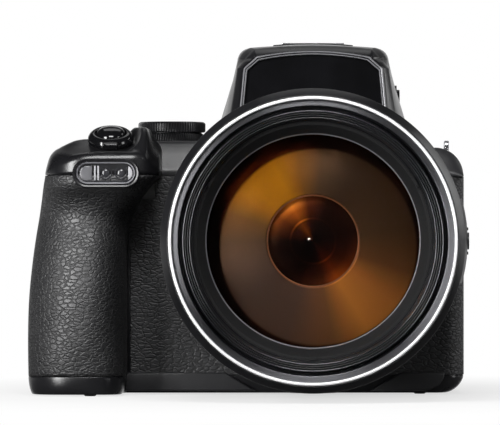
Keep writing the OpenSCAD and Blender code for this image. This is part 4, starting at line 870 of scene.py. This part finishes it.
panel_edge = arch_row((23.3, 93.0), (21.8, 108.3), (17.9, 111.6), 113.5, in_front(1.2))
hump_rows = [
    panel_edge,
    arch_row((23.4, 93.0), (21.95, 108.4), (18.0, 111.75), 113.65, in_front(0.15)),
    arch_row((23.5, 93.0), (22.1, 108.5), (18.1, 111.9), 113.8, in_front(0.0)),
    arch_row((23.7, 93.0), (22.3, 108.6), (18.2, 112.1), 114.0, in_front(0.12)),
    arch_row((23.8, 93.0), (22.4, 108.65), (18.25, 112.2), 114.1, in_front(0.5)),
    arch_row((24.0, 93.0), (22.55, 108.75), (18.35, 112.4), 114.3, in_front(0.5)),
    arch_row((24.1, 93.0), (22.65, 108.8), (18.4, 112.5), 114.4, in_front(0.12)),
    arch_row((24.3, 93.0), (22.8, 108.9), (18.5, 112.65), 114.55, in_front(0.05)),
    arch_row((24.6, 93.0), (23.1, 109.0), (18.7, 112.95), 114.8, in_front(0.3)),
    arch_row((27.2, 91.2), (25.1, 109.2), (19.6, 115.3), 116.6, in_front(4.6)),
    arch_row((27.7, 90.9), (25.35, 109.2), (19.75, 115.6), 116.85, in_front(5.4)),
    arch_row((28.2, 90.5), (25.45, 109.1), (19.8, 115.8), 117.0, in_front(6.6), 0.25),
    arch_row((29.6, 89.2), (25.6, 110.2), (20.9, 116.2), 117.1, at_depth(-26), 0.6),
    arch_row((30.8, 88.2), (25.5, 111.4), (21.6, 116.2), 117.2, at_depth(-21), 0.8),
    arch_row((33.0, 86.0), (25.2, 111.8), (21.6, 116.2), 117.2, at_depth(-10), 0.8),
    arch_row((33.0, 86.0), (25.0, 111.8), (21.4, 116.2), 117.2, at_depth(-3), 0.8),
    arch_row((33.0, 84.0), (24.8, 111.4), (21.0, 116.2), 117.2, at_depth(9), 0.8),
    arch_row((33.0, 82.0), (24.4, 109.4), (18.6, 116.5), 117.1, at_depth(20), 1.0),
    arch_row((32.8, 82.0), (24.0, 108.2), (18.4, 114.6), 115.4, at_depth(28), 1.0),
    arch_row((32.0, 82.0), (23.2, 106.4), (17.8, 111.6), 112.2, at_depth(34), 0.8),
    arch_row((30.6, 82.0), (22.0, 105.0), (17.0, 110.0), 110.6, at_depth(36.6)),
    arch_row((28.0, 82.0), (20.0, 103.0), (15.0, 108.0), 108.6, at_depth(37)),
    arch_row((4.0, 82.0), (4.0, 86.0), (3.0, 88.0), 88.2, at_depth(37)),
]
# The crests are drawn in a lighter grey metal, a painted highlight along the frame.
crest_painted_highlight = grained("frame_crest_painted_highlight", "#77777a", "#68686b", 0.3, 0.4, 0.01, Metallic=0.2)
groove = 5
lid_z = 112.25
lid_back = -3.0
slit = 0.05


def hump_cut(low=None, high=None, back=None, front=None):
    """The hump's form outside the frame's groove, between two heights and two depths in mm."""
    bm = loft(hump_rows[groove:])
    for limit, normal in ((low, (0, 0, -1)), (high, (0, 0, 1)), (back, (0, 1, 0)), (front, (0, -1, 0))):
        if limit is not None:
            point = (0, limit * mm, 0) if normal[1] else (0, 0, limit * mm)
            bmesh.ops.bisect_plane(bm, geom=bm.verts[:] + bm.edges[:] + bm.faces[:], plane_co=point,
                                   plane_no=normal, clear_outer=True)
    return bm


def hump_piece(bm, name, body, stands_for, thickness):
    """A shell of the hump, with a painted highlight on the crests of the frame."""
    piece = finish(bm, name, body, [satin, crest_painted_highlight], stands_for, 28)
    for polygon in piece.data.polygons:
        at = polygon.center / mm
        if at.y < frame_y(at.z) + 0.22:
            polygon.material_index = 1
    return thicken(piece, thickness)


hump_piece(loft(hump_rows[:groove]), "panel_frame", "camera_body", "", 0.4)
hump_piece(hump_cut(high=lid_z - slit), "hump_shell", "camera_body", "hump_housing", 1.2)
hump_piece(hump_cut(low=lid_z - slit, front=lid_back + 2), "hump_roof", "camera_body", "", 1.2)
hump_piece(hump_cut(low=lid_z + slit, back=lid_back + 0.4), "flash_lid", "flash", "flash_head", 0.5)

# %% [markdown]
# The panel on the hump's front is a plain gloss plate behind the frame.

# %% Front panel
panel = bmesh.new()
panel_face = panel.faces.new([panel.verts.new(Vector(p) * mm) for p in panel_edge])
panel_back = bmesh.ops.extrude_face_region(panel, geom=[panel_face])["geom"]
moved = [g for g in panel_back if isinstance(g, bmesh.types.BMVert)]
bmesh.ops.translate(panel, vec=(0, 1.2 * mm, 0), verts=moved)
finish(panel, "front_plate", "camera_body", gloss_black, "front_panel")

# %% [markdown]
# A low arch stands round the accessory shoe, with a lip in front that closes the shoe's slot.

# %% Shoe surround
arch_half = 13.5
arch_rise = 0.7


def shoe_arch(y, lift):
    """A low arch across the hump at a depth, from a height at its ends."""
    across = [arch_half * (k / 12 - 1) for k in range(25)]
    return [(x, y, lift + arch_rise * (1 - (x / arch_half) ** 2)) for x in across]


lip_rows = [shoe_arch(-0.9, 116.4), shoe_arch(-0.9, 117.4), shoe_arch(-0.7, 117.8), shoe_arch(-0.3, 118.0),
            shoe_arch(1.6, 118.0), shoe_arch(1.8, 117.9), shoe_arch(1.9, 116.4)]
finish(loft(lip_rows), "shoe_lip", "camera_body", satin, "", 40)
for name, side in (("shoe_rail_left", -1), ("shoe_rail_right", 1)):
    rail = bmesh.new()
    bmesh.ops.create_cube(rail, size=1.0)
    bmesh.ops.scale(rail, vec=(2.0 * mm, 19.2 * mm, 2.0 * mm), verts=rail.verts)
    bmesh.ops.translate(rail, vec=(side * 12.4 * mm, 11.3 * mm, 117.1 * mm), verts=rail.verts)
    bmesh.ops.bevel(rail, geom=rail.edges[:], offset=0.4 * mm, segments=3, profile=0.5, affect="EDGES",
                    material=-1)
    finish(rail, name, "camera_body", satin, "")

# %% [markdown]
# ## AF window
# A surround is let into the head. Inside its bright rim lie a frosted diffuser, two light guides, two small
# lenses and a third guide at the end, all on a smoked cover.

# %% AF window
def pill(width, height, x, z, steps=14):
    """A closed outline with round ends, as points (x, z) in mm."""
    r = height / 2
    half = width / 2 - r
    points = []
    for side in (1, -1):
        for k in range(steps + 1):
            a = -math.pi / 2 + math.pi * k / steps + (0 if side > 0 else math.pi)
            points.append((x + side * half + r * math.cos(a), z + r * math.sin(a)))
    return points


def ring_of(outlines):
    """A sheet through closed outlines, each a pair of points (x, z) and a depth y."""
    return loft([[(x, y, z) for x, z in points + points[:1]] for points, y in outlines])


window_x, window_z = -68.3, 73.9
face_y = head_front


def pills(sizes):
    """Outlines round the window's centre, from widths, heights and depths before the head's face."""
    return [(pill(width, height, window_x, window_z), face_y - proud) for width, height, proud in sizes]


surround = pills([(22.4, 9.8, -0.8), (22.0, 9.5, 0.25), (21.4, 9.0, 0.45), (20.4, 8.1, 0.3),
                  (19.4, 7.2, -0.5)])
finish(ring_of(surround), "af_surround", "camera_body", satin, "", 35)
bright_rim = pills([(19.4, 7.2, -0.2), (19.3, 7.1, 0.3), (19.15, 6.95, 0.4), (18.95, 6.75, 0.3),
                    (18.3, 6.1, -0.2)])
smoked = grained("smoked_window_plastic", "#2e2e31", "#242427", 0.16, 4.0, 0.01)
chrome = grained("bright_painted_rim", "#9a9a9e", "#84848a", 0.3, 0.3, 0.01, Metallic=0.4)
finish(ring_of(bright_rim), "af_bright_rim", "camera_body", chrome, "", 35)
finish(pad(pill(18.4, 6.2, window_x, window_z), face_y + 0.9, face_y + 0.3), "af_cover", "camera_body",
       smoked, "af_window")
diffuser_grey = grained("frosted_diffuser", "#67676a", "#4a4a4d", 0.3, 1.6, 0.05)
guide_white = grained("clear_light_guide", "#a4a4a7", "#88888b", 0.25, 0.5, 0.03)
parts_width = 17.6
part_height = 5.0
left_end = window_x - parts_width / 2
diffuser = [(x, z) for x, z in pill(9.0, part_height, left_end + 4.5, window_z) if x < left_end + 4.5]
diffuser = [(left_end + 4.4, window_z - part_height / 2), (left_end + 4.4, window_z + part_height / 2),
            *diffuser]
finish(pad(diffuser, face_y + 0.5, face_y - 0.15, 0.5), "af_diffuser", "camera_body", diffuser_grey, "")
for n, bar_x in enumerate((left_end + 5.2, left_end + 6.3)):
    bar = [(bar_x - 0.27, window_z - 2.4), (bar_x + 0.27, window_z - 2.4), (bar_x + 0.27, window_z + 2.4),
           (bar_x - 0.27, window_z + 2.4)]
    bar_bm = pad(bar, face_y + 0.5, face_y - 0.2, 0.1)
    finish(bar_bm, f"af_light_guide_{n + 1}", "camera_body", guide_white, "")
right_end = window_x + parts_width / 2
end_cap = [(x, z) for x, z in pill(8.0, part_height, right_end - 4.0, window_z) if x > right_end - 1.9]
finish(pad(end_cap, face_y + 0.5, face_y - 0.15), "af_end_guide", "camera_body", guide_white, "")
eye = [(2.2, 0.2), (2.1, 0.6), (1.85, 0.62), (1.7, 0.35), (1.55, 0.3), (1.1, 0.62), (0.6, 0.78), (0.0, 0.82)]
for n, eye_x in enumerate((-68.4, -63.3)):
    eye_bm = turned(eye, False, 48, (eye_x, face_y + 0.5, window_z), forward)
    finish(eye_bm, f"af_eye_{n + 1}", "camera_body", smoked, "", 30)

# %% [markdown]
# ## Shutter button and zoom lever
# The button is a polished dome in a ring. The ring turns to zoom, and a short tab in front takes the finger.

# %% Shutter button and lever
tilt = math.radians(25)
leaning = (0, -math.sin(tilt), math.cos(tilt))
button = [(0.0, 5.0), (1.5, 4.95), (3.0, 4.72), (4.1, 4.25), (4.75, 3.5), (4.9, 2.6), (4.9, 0.5), (0.0, 0.5)]
finish(turned(button, False, 96, shutter_place, leaning), "shutter_dome", "shutter_button", gloss_black,
       "shutter_button", 60)
lever = [(5.15, 0.3), (7.3, 0.3), (7.6, 0.7), (7.6, 1.9), (7.0, 2.9), (6.2, 3.5), (5.4, 3.6), (5.15, 3.3)]
lever_bm = turned(rounded(lever, 0.3), True, 96, (0, 0, 0), upward)
tab = bmesh.ops.create_cube(lever_bm, size=1.0)["verts"]
bmesh.ops.scale(lever_bm, vec=(5.2 * mm, 2.6 * mm, 2.0 * mm), verts=tab)
bmesh.ops.translate(lever_bm, vec=(0, -7.8 * mm, 2.3 * mm), verts=tab)
tab_edges = list(dict.fromkeys(e for v in tab for e in v.link_edges))
bmesh.ops.bevel(lever_bm, geom=tab_edges, offset=0.5 * mm, segments=4, profile=0.5, affect="EDGES",
                material=-1)
stand(lever_bm, shutter_place, leaning)
finish(lever_bm, "zoom_lever_ring", "zoom_lever", gloss_black, "zoom_lever", 45)

# %% [markdown]
# ## Mode dial
# The dial is moulded in two tiers, both with fine upright ribs, and a plain neck between them.

# %% Mode dial
dial_place = (-48, 4, 0)


def ribbed(radius, depth, teeth=76):
    """A closed outline of ribs: each is two points out and two points in."""
    points = []
    for k in range(teeth * 4):
        r = radius - depth * (k % 4 in (2, 3))
        turn = 2 * math.pi * k / (teeth * 4)
        points.append((r * math.cos(turn), r * math.sin(turn)))
    return points + points[:1]


# Each row of the dial has its radius, the depth of its ribs and its height.
rib = 0.45
tiers = [(9.0, 0, 85.5), (10.4, 0, 85.5), (10.7, rib, 85.8), (10.7, rib, 87.7), (10.4, 0, 88.0),
         (10.1, 0, 88.1), (10.1, 0, 88.35), (11.1, 0, 88.45), (11.4, rib, 88.7), (11.4, rib, 91.3),
         (11.1, 0, 91.7), (10.7, 0, 91.95), (9.8, 0, 92.0), (9.6, 0, 91.8), (3.0, 0, 91.8), (0.01, 0, 91.8)]
dial_rows = [[(x + dial_place[0], y + dial_place[1], z) for x, y in ribbed(r, deep)] for r, deep, z in tiers]
finish(loft(dial_rows), "mode_dial_ribbed", "mode_dial", control, "mode_dial", 35)

# %% [markdown]
# ## Studio
# A white sweep behind and soft boxes in front, as for a catalogue photograph. The room in front of the
# camera is dark, so black gloss stays deep, and the white behind lights up the edges.

# %% World
world = bpy.data.worlds.new("studio")
bpy.context.scene.world = world
world.use_nodes = True
sky = world.node_tree
sky.nodes.clear()
way = add(sky, "ShaderNodeTexCoord")
parts = add(sky, "ShaderNodeSeparateXYZ", {"Vector": way.outputs["Generated"]})
behind = add(sky, "ShaderNodeMapRange", {"Value": parts.outputs["Y"], "From Min": 0.72, "From Max": 1.0},
             interpolation_type="SMOOTHSTEP")
ray = add(sky, "ShaderNodeLightPath")
sees = add(sky, "ShaderNodeMath", {0: ray.outputs["Is Glossy Ray"], 1: ray.outputs["Is Transmission Ray"]},
           operation="MAXIMUM")
mirrored = add(sky, "ShaderNodeMath", {0: sees.outputs["Value"], 1: behind.outputs["Result"]},
               operation="MULTIPLY")
white_seen = add(sky, "ShaderNodeMath", {0: ray.outputs["Is Camera Ray"], 1: mirrored.outputs["Value"]},
                 operation="MAXIMUM")
room = add(sky, "ShaderNodeBackground", {"Color": linear("#ffffff"), "Strength": 0.03})
sweep = add(sky, "ShaderNodeBackground", {"Color": linear("#ffffff"), "Strength": 1.0})
shown = add(sky, "ShaderNodeMixShader", {0: white_seen.outputs["Value"], 1: room.outputs["Background"],
                                         2: sweep.outputs["Background"]})
add(sky, "ShaderNodeOutputWorld", {"Surface": shown.outputs["Shader"]})
print("world set")

# %% [markdown]
# The floor is white sweep paper. From the viewpoint it is white, and close to the object it shows the lit
# paper with the shadow on it. Mirrors don't see the paper in front of the object, because it would draw a
# line across the glass.

# %% Floor
floor_mat = bpy.data.materials.new("white_sweep_paper")
floor_mat.use_nodes = True
paper = floor_mat.node_tree
paper.nodes.clear()
spot = add(paper, "ShaderNodeTexCoord").outputs["Object"]
fibre = add(paper, "ShaderNodeTexNoise", {"Vector": spot, "Scale": 40.0})
tint = add(paper, "ShaderNodeValToRGB", {"Fac": fibre.outputs["Fac"]}, [(0.3, "#d4d4d4"), (0.7, "#dadada")])
lit = add(paper, "ShaderNodeBsdfDiffuse", {"Color": tint.outputs["Color"]})
glow = add(paper, "ShaderNodeEmission", {"Color": linear("#ffffff"), "Strength": 1.0})
near = add(paper, "ShaderNodeMapping", {"Vector": spot, "Scale": (5.0, 4.0, 1.0)})
pool = add(paper, "ShaderNodeTexGradient", {"Vector": near.outputs["Vector"]}, gradient_type="SPHERICAL")
share = add(paper, "ShaderNodeMapRange", {"Value": pool.outputs["Fac"], "To Min": 1.0, "To Max": 0.55})
path = add(paper, "ShaderNodeLightPath")
seen = add(paper, "ShaderNodeMath", {0: path.outputs["Is Glossy Ray"],
                                     1: path.outputs["Is Transmission Ray"]}, operation="MAXIMUM")
depth = add(paper, "ShaderNodeSeparateXYZ", {"Vector": spot})
back = add(paper, "ShaderNodeMapRange", {"Value": depth.outputs["Y"], "From Min": 0.05, "From Max": 0.4})
seen = add(paper, "ShaderNodeMath", {0: seen.outputs["Value"], 1: back.outputs["Result"]},
           operation="MULTIPLY")
seen = add(paper, "ShaderNodeMath", {0: path.outputs["Is Camera Ray"], 1: seen.outputs["Value"]},
           operation="MAXIMUM")
white = add(paper, "ShaderNodeMath", {0: seen.outputs["Value"], 1: share.outputs["Result"]},
            operation="MULTIPLY")
surface = add(paper, "ShaderNodeMixShader", {0: white.outputs["Value"], 1: lit.outputs["BSDF"],
                                             2: glow.outputs["Emission"]})
gone = add(paper, "ShaderNodeBsdfTransparent")
before = add(paper, "ShaderNodeMapRange", {"Value": depth.outputs["Y"], "From Min": 0.05, "From Max": -0.05})
hidden = add(paper, "ShaderNodeMath", {0: path.outputs["Is Glossy Ray"], 1: before.outputs["Result"]},
             operation="MULTIPLY")
surface = add(paper, "ShaderNodeMixShader", {0: hidden.outputs["Value"], 1: surface.outputs["Shader"],
                                             2: gone.outputs["BSDF"]})
add(paper, "ShaderNodeOutputMaterial", {"Surface": surface.outputs["Shader"]})
floor_bm = bmesh.new()
bmesh.ops.create_grid(floor_bm, x_segments=8, y_segments=8, size=4.0)
floor_front = -0.34
bmesh.ops.translate(floor_bm, vec=(0, 4.0 + floor_front, 0), verts=floor_bm.verts)
floor_mesh = bpy.data.meshes.new("floor")
floor_bm.to_mesh(floor_mesh)
floor_bm.free()
floor_mesh.materials.append(floor_mat)
floor = bpy.data.objects.new("floor", floor_mesh)
bpy.context.scene.collection.objects.link(floor)
print("floor laid")

# %% [markdown]
# A large box above the front and a tall one at the left give the forms. Two at the right and one behind are
# weaker and lift the edges, and a small one behind the viewpoint makes the glint in the lens.

# %% Lamps
aim = Vector((-0.02, -0.04, 0.06))


def soft_box(name, place, width, height, watts):
    """A soft box that faces the camera body."""
    lamp = bpy.data.lights.new(name, "AREA")
    lamp.shape = "RECTANGLE"
    lamp.size = width
    lamp.size_y = height
    lamp.energy = watts
    lamp_object = bpy.data.objects.new(name, lamp)
    lamp_object.location = place
    lamp_object.rotation_euler = (aim - Vector(place)).to_track_quat("-Z", "Y").to_euler()
    bpy.context.scene.collection.objects.link(lamp_object)


soft_box("top_box", (0.0, -0.95, 0.9), 0.5, 0.45, 13)
soft_box("key_left", (-0.75, -0.9, 0.2), 0.34, 0.9, 23)
soft_box("right_box", (0.9, 0.3, 0.45), 0.3, 0.7, 2.6)
soft_box("fill_right", (0.95, -0.62, 0.24), 0.25, 0.7, 3.2)
soft_box("back_box", (0.0, 0.55, 0.95), 0.6, 0.25, 0.5)
soft_box("front_spot", (-0.03, -2.2, 0.07), 0.022, 0.022, 0.3)
print("lamps set")

# %% [markdown]
# The viewpoint lies on the lens axis, and it looks straight at the lens. Its focal length is written in
# pixels of a picture 500 pixels wide. The view is shifted, so the lens lies right of the centre and below it.

# %% Viewpoint
focal_pixels = 5421
picture_width = 500
film_width = 36
stand_off = 1.841
view = bpy.data.cameras.new("photo_view")
view.sensor_width = film_width
view.lens = film_width * focal_pixels / picture_width
view.shift_x = -0.126
view.shift_y = 0.057
view.clip_start = 0.1
view.clip_end = 20
camera = bpy.data.objects.new("photo_view", view)
camera.location = (0, -stand_off, lens_z * mm)
camera.rotation_euler = (math.pi / 2, 0, 0)
bpy.context.scene.collection.objects.link(camera)
bpy.context.scene.camera = camera
bpy.context.scene.view_settings.view_transform = "Standard"
print("viewpoint set")
